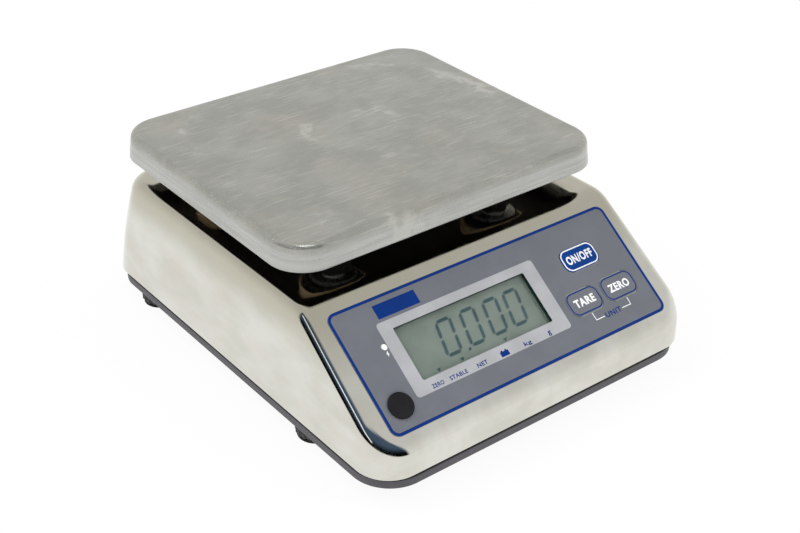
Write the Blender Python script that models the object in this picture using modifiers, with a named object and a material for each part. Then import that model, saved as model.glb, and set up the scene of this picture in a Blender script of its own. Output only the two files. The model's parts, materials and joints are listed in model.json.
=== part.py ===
"""Waterproof table scale: a wedge-shaped steel cover on a flat base, a lift-off pan and levelling feet.

The origin is under the middle of the scale, on the table. X runs to the right, +Y to the rear, Z up.
"""

import math

import bmesh
import bpy
from mathutils import Euler, Matrix, Vector

# Driving dimensions, in metres
GAP = 0.0003
CLEARANCE = 0.0003

# Feet
SOLE_RADIUS = 0.0112
SOLE_HEIGHT = 0.002
SOLE_EDGE = 0.0005
SWIVEL_RADIUS = 0.003
SWIVEL_HEIGHT = 0.003
KNOB_RADIUS = 0.0122
KNOB_HEIGHT = 0.0071
KNOB_LOBES = 20
KNOB_FLUTE = 0.0009
KNOB_AIR = 0.0006
KNOB_RISE = 0.0015
STUD_RADIUS = 0.004
STUD_LENGTH = 0.0146
FOOT_FROM_SIDE = 0.01515
FOOT_FROM_FRONT = 0.0804
FOOT_FROM_REAR = 0.0379

# Base
BASE_INSET = 0.0011
BASE_HEIGHT = 0.006
BASE_FLOOR = 0.003
BASE_RIM = 0.009
BASE_CORNER = 0.025
BASE_EDGE = 0.0008
FOOT_BOSS_RADIUS = 0.0068
FOOT_BOSS_HEIGHT = 0.011
BASE_RIB = 0.003
RIB_FROM_CELL = 0.00705
RIB_FROM_FRONT = 0.095
RIB_FROM_REAR = 0.029
GASKET_THICKNESS = 0.001
GASKET_WIDTH = 0.006
GASKET_INSET = 0.001

# Cover
COVER_WIDTH = 0.2401
COVER_DEPTH = 0.2944
COVER_HEIGHT = 0.0712
COVER_WALL = 0.0012
COVER_CORNER = 0.022
COVER_ROUNDING = 0.0074
SIDE_DRAFT = 0.037
SIDE_BULGE = 0.019
REAR_DRAFT = 0.163
REAR_BULGE = 0.117
FRONT_DRAFT = 0.022
COVER_LEVELS = (0.5, 0.65, 0.8)
SLOPE_ANGLE = math.radians(34.91)
PANEL_FROM_FRONT = 0.03976
PANEL_RISE = 0.04427

# Rails and screws that hold the base to the cover
RAIL_FROM_SIDE = 0.03005
RAIL_HEIGHT = 0.008
RAIL_WIDTH = 0.019
RAIL_THICKNESS = 0.002
SCREW_RADIUS = 0.002
SCREW_HEAD_RADIUS = 0.004
SCREW_HEAD_HEIGHT = 0.0022
SCREW_SINK = 0.003
SCREW_FROM_SIDE = 0.040
SCREW_FROM_END = 0.0147
SCREW_BOSS_RADIUS = 0.0055
SCREW_OVERRUN = 0.002

# Printed panel and keys, with u to the right and v up the slope from the panel's middle
OVERLAY_WIDTH = 0.2089
OVERLAY_DEPTH = 0.0768
OVERLAY_CORNER = 0.0055
OVERLAY_THICKNESS = 0.0005
OVERLAY_PROUD = 0.0003
WINDOW_CENTRE = (-0.02258, 0.000745)
WINDOW_WIDTH = 0.0964
WINDOW_DEPTH = 0.0335
WINDOW_CORNER = 0.001
WINDOW_LAP = 0.0013
WINDOW_THICKNESS = 0.0015
LCD_DEPTH = 0.0035
LCD_THICKNESS = 0.0028
LCD_LEDGE = 0.004
HOLDER_WALL = 0.0032
BACKLIGHT_SPACE = 0.0024
BOARD_THICKNESS = 0.0016
BOARD_LEFT = 0.0845
BOARD_RIGHT = 0.097
BOARD_HALF_DEPTH = 0.027
KEYS = {
    "key_on_off": (0.0680, 0.0128, 0.0274, 0.0150),
    "key_tare": (0.0533, -0.0131, 0.0252, 0.0155),
    "key_zero": (0.0818, -0.0130, 0.0258, 0.0156),
}
KEY_CORNER = 0.0055
KEY_PROUD = 0.0004
KEY_EDGE = 0.0002
KEY_TRAVEL = 0.0005
KEY_FLANGE = 0.0012
KEY_FLANGE_THICKNESS = 0.0012
KEY_NUB_RADIUS = 0.002
KEY_NUB_LENGTH = 0.0005
SWITCH_WIDTH = 0.006
LAMP_CENTRE = (-0.0813, 0.0097)
LAMP_RADIUS = 0.0019
LAMP_PROUD = 0.0005
LAMP_DOME = 0.00095
PLUG_CENTRE = (-0.0913, -0.0234)
PLUG_RADIUS = 0.00775
PLUG_HEIGHT = 0.0015
PLUG_CROWN = 0.0002
PLUG_ROUNDING = 0.001
PLUG_STEM_RADIUS = 0.0037
PLUG_STEM_LENGTH = 0.008
PLUG_STEM_BORE = 0.0056
SOCKET_WALL = 0.0013
SOCKET_FLANGE_RADIUS = 0.0075
SOCKET_FLANGE_THICKNESS = 0.0015
SOCKET_BODY_RADIUS = 0.006
SOCKET_BACK = 0.003
SOCKET_PIN_RADIUS = 0.001
SOCKET_PIN_LENGTH = 0.0048

# Pan
PAN_FROM_REAR = 0.115
PAN_AIR = 0.01572
PAN_WIDTH = 0.230
PAN_DEPTH = 0.1916
PAN_RIM = 0.01666
PAN_FLARE = 0.00149
PAN_CORNER = 0.023
PAN_ROUNDING = 0.0035
PAN_WALL = 0.0012
CUP_RADIUS = 0.020
CUP_WALL = 0.0012
CUP_HEIGHT = 0.0077

# Posts that carry the pan
POST_X = 0.062
POST_Y = 0.0575
POST_RADIUS = 0.007
POST_FLANGE_RADIUS = 0.011
POST_FLANGE_HEIGHT = 0.003
POST_HEAD_RADIUS = 0.014
POST_HEAD_HEIGHT = 0.0024
POST_SPIGOT_RADIUS = 0.004
POST_HOLE_RADIUS = 0.0125
CUSHION_RADIUS = 0.017
CUSHION_HEIGHT = 0.011
CUSHION_SOCKET = 0.005
CUSHION_EDGE = 0.001
BOOT_RADIUS = 0.0145
BOOT_HEIGHT = 0.0150
BOOT_WALL = 0.0012
BOOT_COLLAR = 0.002
BOOT_FOLD_COUNT = 2

# Weighing cell and its frame
CELL_LENGTH = 0.130
CELL_WIDTH = 0.030
CELL_HEIGHT = 0.022
CELL_BORE = 0.0075
CELL_BORE_PITCH = 0.034
BLOCK_LENGTH = 0.028
BLOCK_X = 0.048
BASE_BLOCK_HEIGHT = 0.012
TOP_BLOCK_HEIGHT = 0.0161
STOP_RADIUS = 0.006
STOP_AIR = 0.0008
BLOCK_EDGE = 0.0005
SPIDER_THICKNESS = 0.003
SPIDER_ARM = 0.024
SPIDER_BAR_DEPTH = 0.034
SPIDER_RIB = 0.003
SPIDER_RIB_HEIGHT = 0.006

# Battery and electronics
BATTERY_LENGTH = 0.101
BATTERY_WIDTH = 0.047
BATTERY_HEIGHT = 0.047
BATTERY_SPACE = 0.0068
BATTERY_EDGE = 0.0015
CLAMP_THICKNESS = 0.0015
CLAMP_WIDTH = 0.016
CLAMP_FOOT = 0.012
MAIN_BOARD_WIDTH = 0.080
MAIN_BOARD_DEPTH = 0.058
MAIN_BOARD_X = -0.052
MAIN_BOARD_FROM_FRONT = 0.058
MAIN_BOARD_LIFT = 0.0037
STANDOFF_RADIUS = 0.003
STANDOFF_INSET = 0.005
SHIELD_WIDTH = 0.030
SHIELD_DEPTH = 0.024
SHIELD_HEIGHT = 0.008
BOARD_PARTS = {
    "cell_connector": (-0.028, 0.020, 0.012, 0.006, 0.006),
    "battery_connector": (-0.008, 0.020, 0.010, 0.006, 0.006),
    "processor": (-0.020, -0.012, 0.012, 0.012, 0.0025),
    "converter": (0.004, -0.020, 0.016, 0.008, 0.003),
}
SHIELD_PLACE = (0.020, 0.008)
LEAD_RADIUS = 0.002
LEAD_STRAIGHT = 0.004
LEAD_BEND = 0.008
CELL_LEAD_SHARE = 0.35
CELL_LEAD_REACH = 0.014
BATTERY_LEAD_SHARE = 0.65
BATTERY_LEAD_REACH = 0.022

# Facets
CORNER_STEPS = 6
ROUND_FACETS = 18
SMALL_FACETS = 12

# Heights, worked out from the table upwards
KNOB_BOTTOM = SOLE_HEIGHT + GAP
KNOB_TOP = KNOB_BOTTOM + KNOB_HEIGHT
BASE_BOTTOM = KNOB_TOP + KNOB_AIR
BASE_TOP = BASE_BOTTOM + BASE_HEIGHT
FLOOR_TOP = BASE_BOTTOM + BASE_FLOOR
GASKET_BOTTOM = BASE_TOP + GAP
COVER_BOTTOM = GASKET_BOTTOM + GASKET_THICKNESS + GAP
COVER_TOP = COVER_BOTTOM + COVER_HEIGHT
PAN_BOTTOM = COVER_TOP + PAN_AIR
PAN_TOP = PAN_BOTTOM + PAN_RIM
PAN_UNDERSIDE = PAN_TOP - PAN_WALL
CUSHION_TOP = PAN_UNDERSIDE - GAP
POST_HEAD_TOP = CUSHION_TOP - CUSHION_HEIGHT - GAP
CELL_BOTTOM = FLOOR_TOP + GAP + BASE_BLOCK_HEIGHT + GAP
CELL_TOP = CELL_BOTTOM + CELL_HEIGHT
SPIDER_BOTTOM = CELL_TOP + GAP + TOP_BLOCK_HEIGHT + GAP
SPIDER_TOP = SPIDER_BOTTOM + SPIDER_THICKNESS

# Places in plan
BASE_WIDTH = COVER_WIDTH - 2 * BASE_INSET
BASE_DEPTH = COVER_DEPTH - 2 * BASE_INSET
FRONT = -COVER_DEPTH / 2
REAR = COVER_DEPTH / 2
PAN_Y = REAR - PAN_FROM_REAR
FEET = [
    (side * (COVER_WIDTH / 2 - FOOT_FROM_SIDE), y)
    for y in (FRONT + FOOT_FROM_FRONT, REAR - FOOT_FROM_REAR)
    for side in (-1, 1)
]
POSTS = [(x, PAN_Y + y) for y in (-POST_Y, POST_Y) for x in (-POST_X, POST_X)]
SCREWS = [
    (side * (COVER_WIDTH / 2 - SCREW_FROM_SIDE), end * (COVER_DEPTH / 2 - SCREW_FROM_END))
    for end in (-1, 1)
    for side in (-1, 1)
]

# Heights along the panel's own axis, measured from its printed face
STEEL_FACE = -OVERLAY_PROUD
STEEL_BACK = STEEL_FACE - COVER_WALL
RECESS_FLOOR = -OVERLAY_THICKNESS - GAP
WINDOW_TOP = RECESS_FLOOR
LCD_TOP = -LCD_DEPTH
LCD_BOTTOM = LCD_TOP - LCD_THICKNESS
HOLDER_TOP = STEEL_BACK - GAP
HOLDER_LEDGE = LCD_BOTTOM - GAP
HOLDER_BOTTOM = HOLDER_LEDGE - BACKLIGHT_SPACE
BOARD_TOP = HOLDER_BOTTOM - GAP
BOARD_BOTTOM = BOARD_TOP - BOARD_THICKNESS
KEY_FLANGE_TOP = STEEL_BACK - GAP
KEY_FLANGE_BOTTOM = KEY_FLANGE_TOP - KEY_FLANGE_THICKNESS
KEY_NUB_BOTTOM = KEY_FLANGE_BOTTOM - KEY_NUB_LENGTH
SWITCH_TOP = KEY_NUB_BOTTOM - KEY_TRAVEL - CLEARANCE

OVERLAP = 0.0005
BEYOND = 0.004


def start():
    """Empties the scene and makes the collections for the parts and for the cutters."""
    for item in list(bpy.data.objects):
        bpy.data.objects.remove(item, do_unlink=True)
    made = []
    for name in ("table_scale", "cutters"):
        group = bpy.data.collections.new(name)
        bpy.context.scene.collection.children.link(group)
        made.append(group)
    return made


PARTS, CUTTERS = start()


def material(name, colour, roughness, metallic=0.0):
    """A Principled material from a linear colour."""
    made = bpy.data.materials.new(name)
    made.use_nodes = True
    shader = made.node_tree.nodes["Principled BSDF"]
    shader.inputs["Base Color"].default_value = (*colour, 1.0)
    shader.inputs["Roughness"].default_value = roughness
    shader.inputs["Metallic"].default_value = metallic
    return made


POLISHED_STEEL = material("polished_steel", (0.68, 0.66, 0.60), 0.12, 1.0)
BRUSHED_STEEL = material("brushed_steel", (0.55, 0.54, 0.50), 0.32, 1.0)
PLATED_STEEL = material("plated_steel", (0.50, 0.50, 0.50), 0.35, 1.0)
ALUMINIUM = material("aluminium", (0.60, 0.61, 0.62), 0.40, 1.0)
DARK_PAINT = material("dark_paint", (0.060, 0.060, 0.075), 0.50)
BLACK_RUBBER = material("black_rubber", (0.012, 0.012, 0.013), 0.75)
BLACK_PLASTIC = material("black_plastic", (0.020, 0.020, 0.022), 0.45)
GREY_OVERLAY = material("grey_overlay", (0.190, 0.200, 0.220), 0.45)
BLUE_KEY = material("blue_key", (0.003, 0.042, 0.260), 0.40)
GREY_KEY = material("grey_key", (0.160, 0.170, 0.190), 0.45)
CLEAR_WINDOW = material("clear_window", (0.80, 0.84, 0.82), 0.05)
LCD_GREEN = material("lcd_green", (0.230, 0.275, 0.265), 0.25)
WHITE_LENS = material("white_lens", (0.85, 0.85, 0.85), 0.20)
GREEN_BOARD = material("green_board", (0.015, 0.130, 0.050), 0.45)


def add_object(name, data, finish, place=(0, 0, 0), parent=None):
    """Links data as an object; without a finish it is a cutter."""
    made = bpy.data.objects.new(name, data)
    made.location = place
    made.parent = parent
    if finish is None:
        made.hide_render = True
        made.display_type = "WIRE"
        CUTTERS.objects.link(made)
    else:
        data.materials.clear()
        data.materials.append(finish)
        PARTS.objects.link(made)
    return made


def smooth(mesh):
    """Shades round faces smooth and keeps real edges sharp."""
    mesh.shade_smooth()
    mesh.set_sharp_from_angle(angle=math.radians(30))


def rounded_rectangle(width, depth, radius, centre=(0, 0), steps=CORNER_STEPS):
    """The outline of a rectangle with round corners, counter-clockwise."""
    points = []
    for corner, (side, end) in enumerate(((1, 1), (-1, 1), (-1, -1), (1, -1))):
        for step in range(steps + 1):
            angle = math.pi / 2 * (corner + step / steps)
            x = side * (width / 2 - radius) + radius * math.cos(angle)
            y = end * (depth / 2 - radius) + radius * math.sin(angle)
            points.append((centre[0] + x, centre[1] + y))
    return points


def circle(radius, centre=(0, 0), facets=SMALL_FACETS):
    """The outline of a circle, counter-clockwise."""
    angles = [math.tau * step / facets for step in range(facets)]
    return [
        (centre[0] + radius * math.cos(a), centre[1] + radius * math.sin(a)) for a in angles
    ]


def plate(name, outlines, bottom, top, finish, parent=None, edge=0.0, place=(0, 0)):
    """A flat piece between two heights; outlines inside the first one are its holes."""
    curve = bpy.data.curves.new(name, "CURVE")
    curve.dimensions = "2D"
    curve.fill_mode = "BOTH"
    curve.extrude = (top - bottom) / 2
    curve.render_resolution_u = 0
    for outline in outlines:
        spline = curve.splines.new("POLY")
        spline.points.add(len(outline) - 1)
        for point, (x, y) in zip(spline.points, outline):
            point.co = (x, y, 0, 1)
        spline.use_cyclic_u = True
    sketch = add_object(name + "_outline", curve, None)
    bpy.context.view_layer.update()
    depsgraph = bpy.context.evaluated_depsgraph_get()
    mesh = bpy.data.meshes.new_from_object(sketch.evaluated_get(depsgraph))
    mesh.name = name
    bpy.data.objects.remove(sketch)
    work = bmesh.new()
    work.from_mesh(mesh)
    bmesh.ops.remove_doubles(work, verts=work.verts, dist=0.00001)
    if len(outlines) == 1:
        bmesh.ops.dissolve_limit(work, angle_limit=0.01, verts=[], edges=work.edges)
    work.to_mesh(mesh)
    work.free()
    made = add_object(name, mesh, finish, (*place, (top + bottom) / 2), parent)
    if edge:
        soften(made, edge)
    return made


def box(name, size, centre, finish, parent=None, edge=0.0):
    """A block of a size about a centre."""
    mesh = bpy.data.meshes.new(name)
    work = bmesh.new()
    bmesh.ops.create_cube(work, size=1, matrix=Matrix.Diagonal((*size, 1)))
    work.to_mesh(mesh)
    work.free()
    made = add_object(name, mesh, finish, centre, parent)
    if edge:
        soften(made, edge)
    return made


def soften(piece, edge, segments=1):
    """Takes the sharp edges off a piece."""
    bevel = piece.modifiers.new("Edges", "BEVEL")
    bevel.width = edge
    bevel.segments = segments
    bevel.limit_method = "ANGLE"
    bevel.angle_limit = math.radians(40)


def turned(name, profile, finish, place, parent=None, facets=ROUND_FACETS, ring=False):
    """A profile of (radius, height) turned about Z, down its outer side; a ring's profile closes on itself."""
    mesh = bpy.data.meshes.new(name)
    count = len(profile)
    edges = [(index, index + 1) for index in range(count - 1)]
    if ring:
        edges.append((count - 1, 0))
    mesh.from_pydata([(radius, 0, height) for radius, height in profile], edges, [])
    made = add_object(name, mesh, finish, place, parent)
    screw = made.modifiers.new("Turn", "SCREW")
    screw.axis = "Z"
    screw.steps = facets
    screw.render_steps = facets
    screw.use_merge_vertices = True
    screw.merge_threshold = 0.00001
    screw.use_smooth_shade = True
    return made


def combine(piece, tool, operation):
    """Cuts a tool out of a piece, or joins it on."""
    boolean = piece.modifiers.new(tool.name, "BOOLEAN")
    boolean.operation = operation
    boolean.solver = "EXACT"
    boolean.object = tool


def cut(piece, tool):
    combine(piece, tool, "DIFFERENCE")


def join(piece, tool):
    combine(piece, tool, "UNION")


def hole(piece, radius, x, y, bottom, top, parent=None):
    """Cuts a round hole between two heights."""
    name = f"{piece.name}_hole_{len(piece.modifiers)}"
    cut(piece, plate(name, [circle(radius)], bottom, top, None, parent, place=(x, y)))


def boss(piece, radius, x, y, bottom, top):
    """Joins a round boss on between two heights."""
    name = f"{piece.name}_boss_{len(piece.modifiers)}"
    join(piece, plate(name, [circle(radius)], bottom, top, None, place=(x, y)))


def smooth_route(points, steps=2):
    """A curve that passes through the points, with a few places on each stretch."""
    padded = [points[0], *points, points[-1]]
    route = []
    for index in range(len(points) - 1):
        before, start_point, end_point, after = (Vector(p) for p in padded[index : index + 4])
        for step in range(steps):
            t = step / steps
            route.append(
                0.5
                * (
                    2 * start_point
                    + (end_point - before) * t
                    + (2 * before - 5 * start_point + 4 * end_point - after) * t**2
                    + (3 * start_point - before - 3 * end_point + after) * t**3
                )
            )
    route.append(Vector(points[-1]))
    return route


def lead(name, points, radius, finish):
    """A round cable along a smooth route."""
    curve = bpy.data.curves.new(name, "CURVE")
    curve.dimensions = "3D"
    curve.bevel_depth = radius
    curve.bevel_resolution = 2
    curve.use_fill_caps = True
    curve.render_resolution_u = 0
    route = smooth_route(points)
    spline = curve.splines.new("POLY")
    spline.points.add(len(route) - 1)
    for point, place in zip(spline.points, route):
        point.co = (*place, 1)
    return add_object(name, curve, finish)


def drafted_block(width, depth, bottom, top, inset, levels=()):
    """A block whose outline at each height is drawn in by inset(height), with a ring of points at each level."""
    work = bmesh.new()
    middle = Vector((0, 0, (bottom + top) / 2))
    stretch = Matrix.LocRotScale(middle, None, Vector((width, depth, top - bottom)))
    bmesh.ops.create_cube(work, size=1, matrix=stretch)
    for level in levels:
        everything = work.verts[:] + work.edges[:] + work.faces[:]
        bmesh.ops.bisect_plane(work, geom=everything, plane_co=(0, 0, level), plane_no=(0, 0, 1))
    for vert in work.verts:
        side, front, rear = inset(vert.co.z)
        vert.co.x -= math.copysign(side, vert.co.x)
        vert.co.y += front if vert.co.y < 0 else -rear
    return work


def round_uprights(work, radius, steps=CORNER_STEPS):
    """Rounds the four corners that run up the block."""
    uprights = []
    for edge in work.edges:
        first, second = edge.verts
        if abs(first.co.z - second.co.z) > 0.5 * edge.calc_length():
            uprights.append(edge)
    bmesh.ops.bevel(
        work,
        geom=uprights,
        offset=radius,
        offset_type="OFFSET",
        segments=steps,
        profile=0.5,
        affect="EDGES",
    )


def round_roof(work, radius, steps, above):
    """Rounds every sharp edge above a height."""
    edges = []
    for edge in work.edges:
        high = all(vert.co.z > above for vert in edge.verts)
        if high and edge.calc_face_angle(0) > math.radians(25):
            edges.append(edge)
    bmesh.ops.bevel(
        work,
        geom=edges,
        offset=radius,
        offset_type="OFFSET",
        segments=steps,
        profile=0.5,
        affect="EDGES",
    )


def block_object(name, work, finish, place):
    """Makes a block's mesh an object."""
    mesh = bpy.data.meshes.new(name)
    work.to_mesh(mesh)
    work.free()
    smooth(mesh)
    return add_object(name, mesh, finish, place)


def panel_frame():
    """The panel's own frame: u along X, v up the slope, and its Z axis out of the printed face."""
    frame = bpy.data.objects.new("panel_frame", None)
    frame.location = (0, FRONT + PANEL_FROM_FRONT, COVER_BOTTOM + PANEL_RISE)
    frame.rotation_euler = Euler((SLOPE_ANGLE, 0, 0))
    PARTS.objects.link(frame)
    return frame


PANEL = panel_frame()


def cover_inset(height):
    """How far the cover's sides, front and rear are drawn in at a height above its lower edge."""
    share = height * height / COVER_HEIGHT
    side = SIDE_DRAFT * height + SIDE_BULGE * share
    return side, FRONT_DRAFT * height, REAR_DRAFT * height + REAR_BULGE * share


def window_outline(margin):
    """The window's outline, widened all round by a margin."""
    return rounded_rectangle(
        WINDOW_WIDTH + 2 * margin,
        WINDOW_DEPTH + 2 * margin,
        WINDOW_CORNER + max(margin, 0),
        WINDOW_CENTRE,
        steps=2,
    )


def key_outline(name, margin=0.0):
    """A key's outline, widened all round by a margin."""
    u, v, width, depth = KEYS[name]
    return rounded_rectangle(
        width + 2 * margin, depth + 2 * margin, KEY_CORNER + margin, (u, v), steps=4
    )


def wedge(wall, below):
    """The wedge inside a wall: rounded corners, a sloping face cut off flat, and evenly rounded roof edges."""
    levels = [COVER_HEIGHT * share for share in COVER_LEVELS]
    block = drafted_block(
        COVER_WIDTH - 2 * wall,
        COVER_DEPTH - 2 * wall,
        -below,
        COVER_HEIGHT - wall,
        cover_inset,
        levels,
    )
    round_uprights(block, COVER_CORNER - wall)
    outward = Vector((0, -math.sin(SLOPE_ANGLE), math.cos(SLOPE_ANGLE)))
    printed_face = Vector((0, FRONT + PANEL_FROM_FRONT, PANEL_RISE))
    everything = block.verts[:] + block.edges[:] + block.faces[:]
    result = bmesh.ops.bisect_plane(
        block,
        geom=everything,
        plane_co=printed_face + outward * (STEEL_FACE - wall),
        plane_no=outward,
        clear_outer=True,
    )
    rim = [item for item in result["geom_cut"] if isinstance(item, bmesh.types.BMEdge)]
    bmesh.ops.edgeloop_fill(block, edges=rim)
    bmesh.ops.recalc_face_normals(block, faces=block.faces)
    round_roof(block, COVER_ROUNDING - wall, 5, COVER_ROUNDING)
    return block


def top_cover():
    """The drawn steel cover: one wedge-shaped shell with its openings."""
    place = (0, 0, COVER_BOTTOM)
    cover = block_object("top_cover", wedge(0, 0), POLISHED_STEEL, place)
    cut(cover, block_object("cover_inside", wedge(COVER_WALL, BEYOND), None, place))

    recess = rounded_rectangle(
        OVERLAY_WIDTH + 2 * CLEARANCE, OVERLAY_DEPTH + 2 * CLEARANCE, OVERLAY_CORNER + CLEARANCE
    )
    cut(cover, plate("recess_cutter", [recess], RECESS_FLOOR, BEYOND, None, PANEL))
    openings = {"window": window_outline(WINDOW_LAP + CLEARANCE)}
    for name in KEYS:
        openings[name] = key_outline(name, CLEARANCE)
    openings["lamp"] = circle(LAMP_RADIUS + CLEARANCE, LAMP_CENTRE)
    openings["socket"] = circle(socket_radius() + CLEARANCE, PLUG_CENTRE, ROUND_FACETS)
    for name, outline in openings.items():
        cut(cover, plate(name + "_cutter", [outline], -BEYOND, BEYOND, None, PANEL))
    for x, y in POSTS:
        hole(cover, POST_HOLE_RADIUS, x, y, COVER_TOP - BEYOND, COVER_TOP + BEYOND)


def socket_radius():
    """The outer radius of the charging socket's barrel."""
    return PLUG_STEM_RADIUS + CLEARANCE + SOCKET_WALL


def base_plate():
    """The base: a shallow tray with a rim, ribs, foot bosses, screw bosses and stand-offs."""
    outline = rounded_rectangle(BASE_WIDTH, BASE_DEPTH, BASE_CORNER)
    base = plate("base_plate", [outline], BASE_BOTTOM, BASE_TOP, DARK_PAINT, edge=BASE_EDGE)
    well = rounded_rectangle(
        BASE_WIDTH - 2 * BASE_RIM, BASE_DEPTH - 2 * BASE_RIM, BASE_CORNER - BASE_RIM
    )
    cut(base, plate("base_well", [well], FLOOR_TOP, BASE_TOP + BEYOND, None))
    low = FLOOR_TOP - OVERLAP
    high = BASE_TOP - OVERLAP
    middle = (low + high) / 2
    for side in (-1, 1):
        size = (BASE_RIB, BASE_DEPTH - 2 * BASE_RIM + 2 * OVERLAP, high - low)
        place = (side * (CELL_LENGTH / 2 + RIB_FROM_CELL), 0, middle)
        join(base, box(f"base_rib_{side}", size, place, None))
    for y in (FRONT + RIB_FROM_FRONT, REAR - RIB_FROM_REAR):
        size = (BASE_WIDTH - 2 * BASE_RIM + 2 * OVERLAP, BASE_RIB, high - low - OVERLAP)
        join(base, box("base_cross_rib", size, (0, y, middle - OVERLAP / 2), None))
    for x, y in FEET:
        boss(base, FOOT_BOSS_RADIUS, x, y, low, FLOOR_TOP + FOOT_BOSS_HEIGHT)
    for x, y in SCREWS:
        boss(base, SCREW_BOSS_RADIUS, x, y, low, COVER_BOTTOM - GAP)
    for x, y in board_corners():
        boss(base, STANDOFF_RADIUS, x, y, low, FLOOR_TOP + MAIN_BOARD_LIFT)
    for x, y in FEET:
        hole(base, STUD_RADIUS + CLEARANCE, x, y, 0, FLOOR_TOP + FOOT_BOSS_HEIGHT + BEYOND)
        recess = KNOB_TOP + KNOB_RISE + CLEARANCE
        hole(base, KNOB_RADIUS + CLEARANCE + BASE_EDGE, x, y, 0, recess)
    for x, y in SCREWS:
        hole(base, SCREW_RADIUS + CLEARANCE, x, y, 0, COVER_BOTTOM + BEYOND)
        hole(base, SCREW_HEAD_RADIUS + CLEARANCE, x, y, 0, BASE_BOTTOM + SCREW_SINK)


def cover_gasket():
    """The seal between the base's rim and the cover's lower edge."""
    outlines = []
    for inset in (GASKET_INSET, GASKET_INSET + GASKET_WIDTH):
        outlines.append(
            rounded_rectangle(BASE_WIDTH - 2 * inset, BASE_DEPTH - 2 * inset, BASE_CORNER - inset)
        )
    plate("cover_gasket", outlines, GASKET_BOTTOM, GASKET_BOTTOM + GASKET_THICKNESS, BLACK_RUBBER)


def cover_rails():
    """Angle rails inside the cover's front and rear walls, tapped for the base's screws."""
    first_level = COVER_HEIGHT * COVER_LEVELS[0]
    _, front_inset, rear_inset = cover_inset(first_level)
    length = COVER_WIDTH - 2 * RAIL_FROM_SIDE
    for name, end, inset in (("front", -1, front_inset), ("rear", 1, rear_inset)):
        outer = COVER_DEPTH / 2 - COVER_WALL - inset * RAIL_HEIGHT / first_level - GAP
        foot = box(
            f"cover_rail_{name}",
            (length, RAIL_WIDTH, RAIL_THICKNESS),
            (0, end * (outer - RAIL_WIDTH / 2), COVER_BOTTOM + RAIL_THICKNESS / 2),
            PLATED_STEEL,
        )
        size = (length, RAIL_THICKNESS, RAIL_HEIGHT)
        place = (0, end * (outer - RAIL_THICKNESS / 2), COVER_BOTTOM + RAIL_HEIGHT / 2)
        join(foot, box(f"rail_leg_{name}", size, place, None))
        for x, y in SCREWS:
            if y * end > 0:
                hole(foot, SCREW_RADIUS + CLEARANCE, x, y, 0, COVER_BOTTOM + RAIL_HEIGHT)


def base_screws():
    """Pan-head screws that come up through the base into the rails."""
    low = BASE_BOTTOM + SCREW_SINK - GAP - SCREW_HEAD_HEIGHT
    high = COVER_BOTTOM + RAIL_THICKNESS + SCREW_OVERRUN
    for number, (x, y) in enumerate(SCREWS, 1):
        profile = [
            (0, high),
            (SCREW_RADIUS, high),
            (SCREW_RADIUS, low + SCREW_HEAD_HEIGHT),
            (SCREW_HEAD_RADIUS, low + SCREW_HEAD_HEIGHT),
            (SCREW_HEAD_RADIUS, low + 0.4 * SCREW_HEAD_HEIGHT),
            (0.7 * SCREW_HEAD_RADIUS, low),
            (0, low),
        ]
        turned(f"base_screw_{number}", profile, PLATED_STEEL, (x, y, 0), facets=SMALL_FACETS)


def overlay():
    """The printed sheet on the slope, with its openings."""
    outlines = [
        rounded_rectangle(OVERLAY_WIDTH, OVERLAY_DEPTH, OVERLAY_CORNER),
        window_outline(0),
        circle(LAMP_RADIUS + CLEARANCE, LAMP_CENTRE),
        circle(socket_radius() + CLEARANCE, PLUG_CENTRE, ROUND_FACETS),
    ]
    for name in KEYS:
        outlines.append(key_outline(name, CLEARANCE))
    plate("overlay_panel", outlines, -OVERLAY_THICKNESS, 0, GREY_OVERLAY, PANEL)


def display():
    """The clear window, and the display glass in its deep holder on the display board."""
    pane = window_outline(WINDOW_LAP)
    plate("display_window", [pane], WINDOW_TOP - WINDOW_THICKNESS, WINDOW_TOP, CLEAR_WINDOW, PANEL)
    plate("lcd_glass", [pane], LCD_BOTTOM, LCD_TOP, LCD_GREEN, PANEL)
    outer = window_outline(WINDOW_LAP + CLEARANCE + HOLDER_WALL)
    holder = plate("lcd_holder", [outer], HOLDER_BOTTOM, HOLDER_TOP, BLACK_PLASTIC, PANEL)
    well = window_outline(WINDOW_LAP + CLEARANCE)
    cut(holder, plate("holder_well", [well], HOLDER_LEDGE, BEYOND, None, PANEL))
    back = window_outline(WINDOW_LAP - LCD_LEDGE)
    cut(holder, plate("holder_back", [back], HOLDER_BOTTOM - BEYOND, 0, None, PANEL))


def display_board():
    """The board behind the panel, with a switch under each key."""
    width = BOARD_LEFT + BOARD_RIGHT
    size = (width, 2 * BOARD_HALF_DEPTH, BOARD_THICKNESS)
    place = ((BOARD_RIGHT - BOARD_LEFT) / 2, 0, (BOARD_TOP + BOARD_BOTTOM) / 2)
    board = box("display_board", size, place, GREEN_BOARD, PANEL)
    for name, (u, v, _, _) in KEYS.items():
        body_top = SWITCH_TOP - KEY_NUB_LENGTH
        height = body_top - BOARD_TOP + OVERLAP
        body = (SWITCH_WIDTH, SWITCH_WIDTH, height)
        centre = (u, v, body_top - height / 2)
        join(board, box(f"switch_under_{name}", body, centre, None, PANEL))
        stem = [circle(KEY_NUB_RADIUS)]
        join(
            board,
            plate(
                f"switch_stem_{name}", stem, body_top - OVERLAP, SWITCH_TOP, None, PANEL, place=(u, v)
            ),
        )


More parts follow.
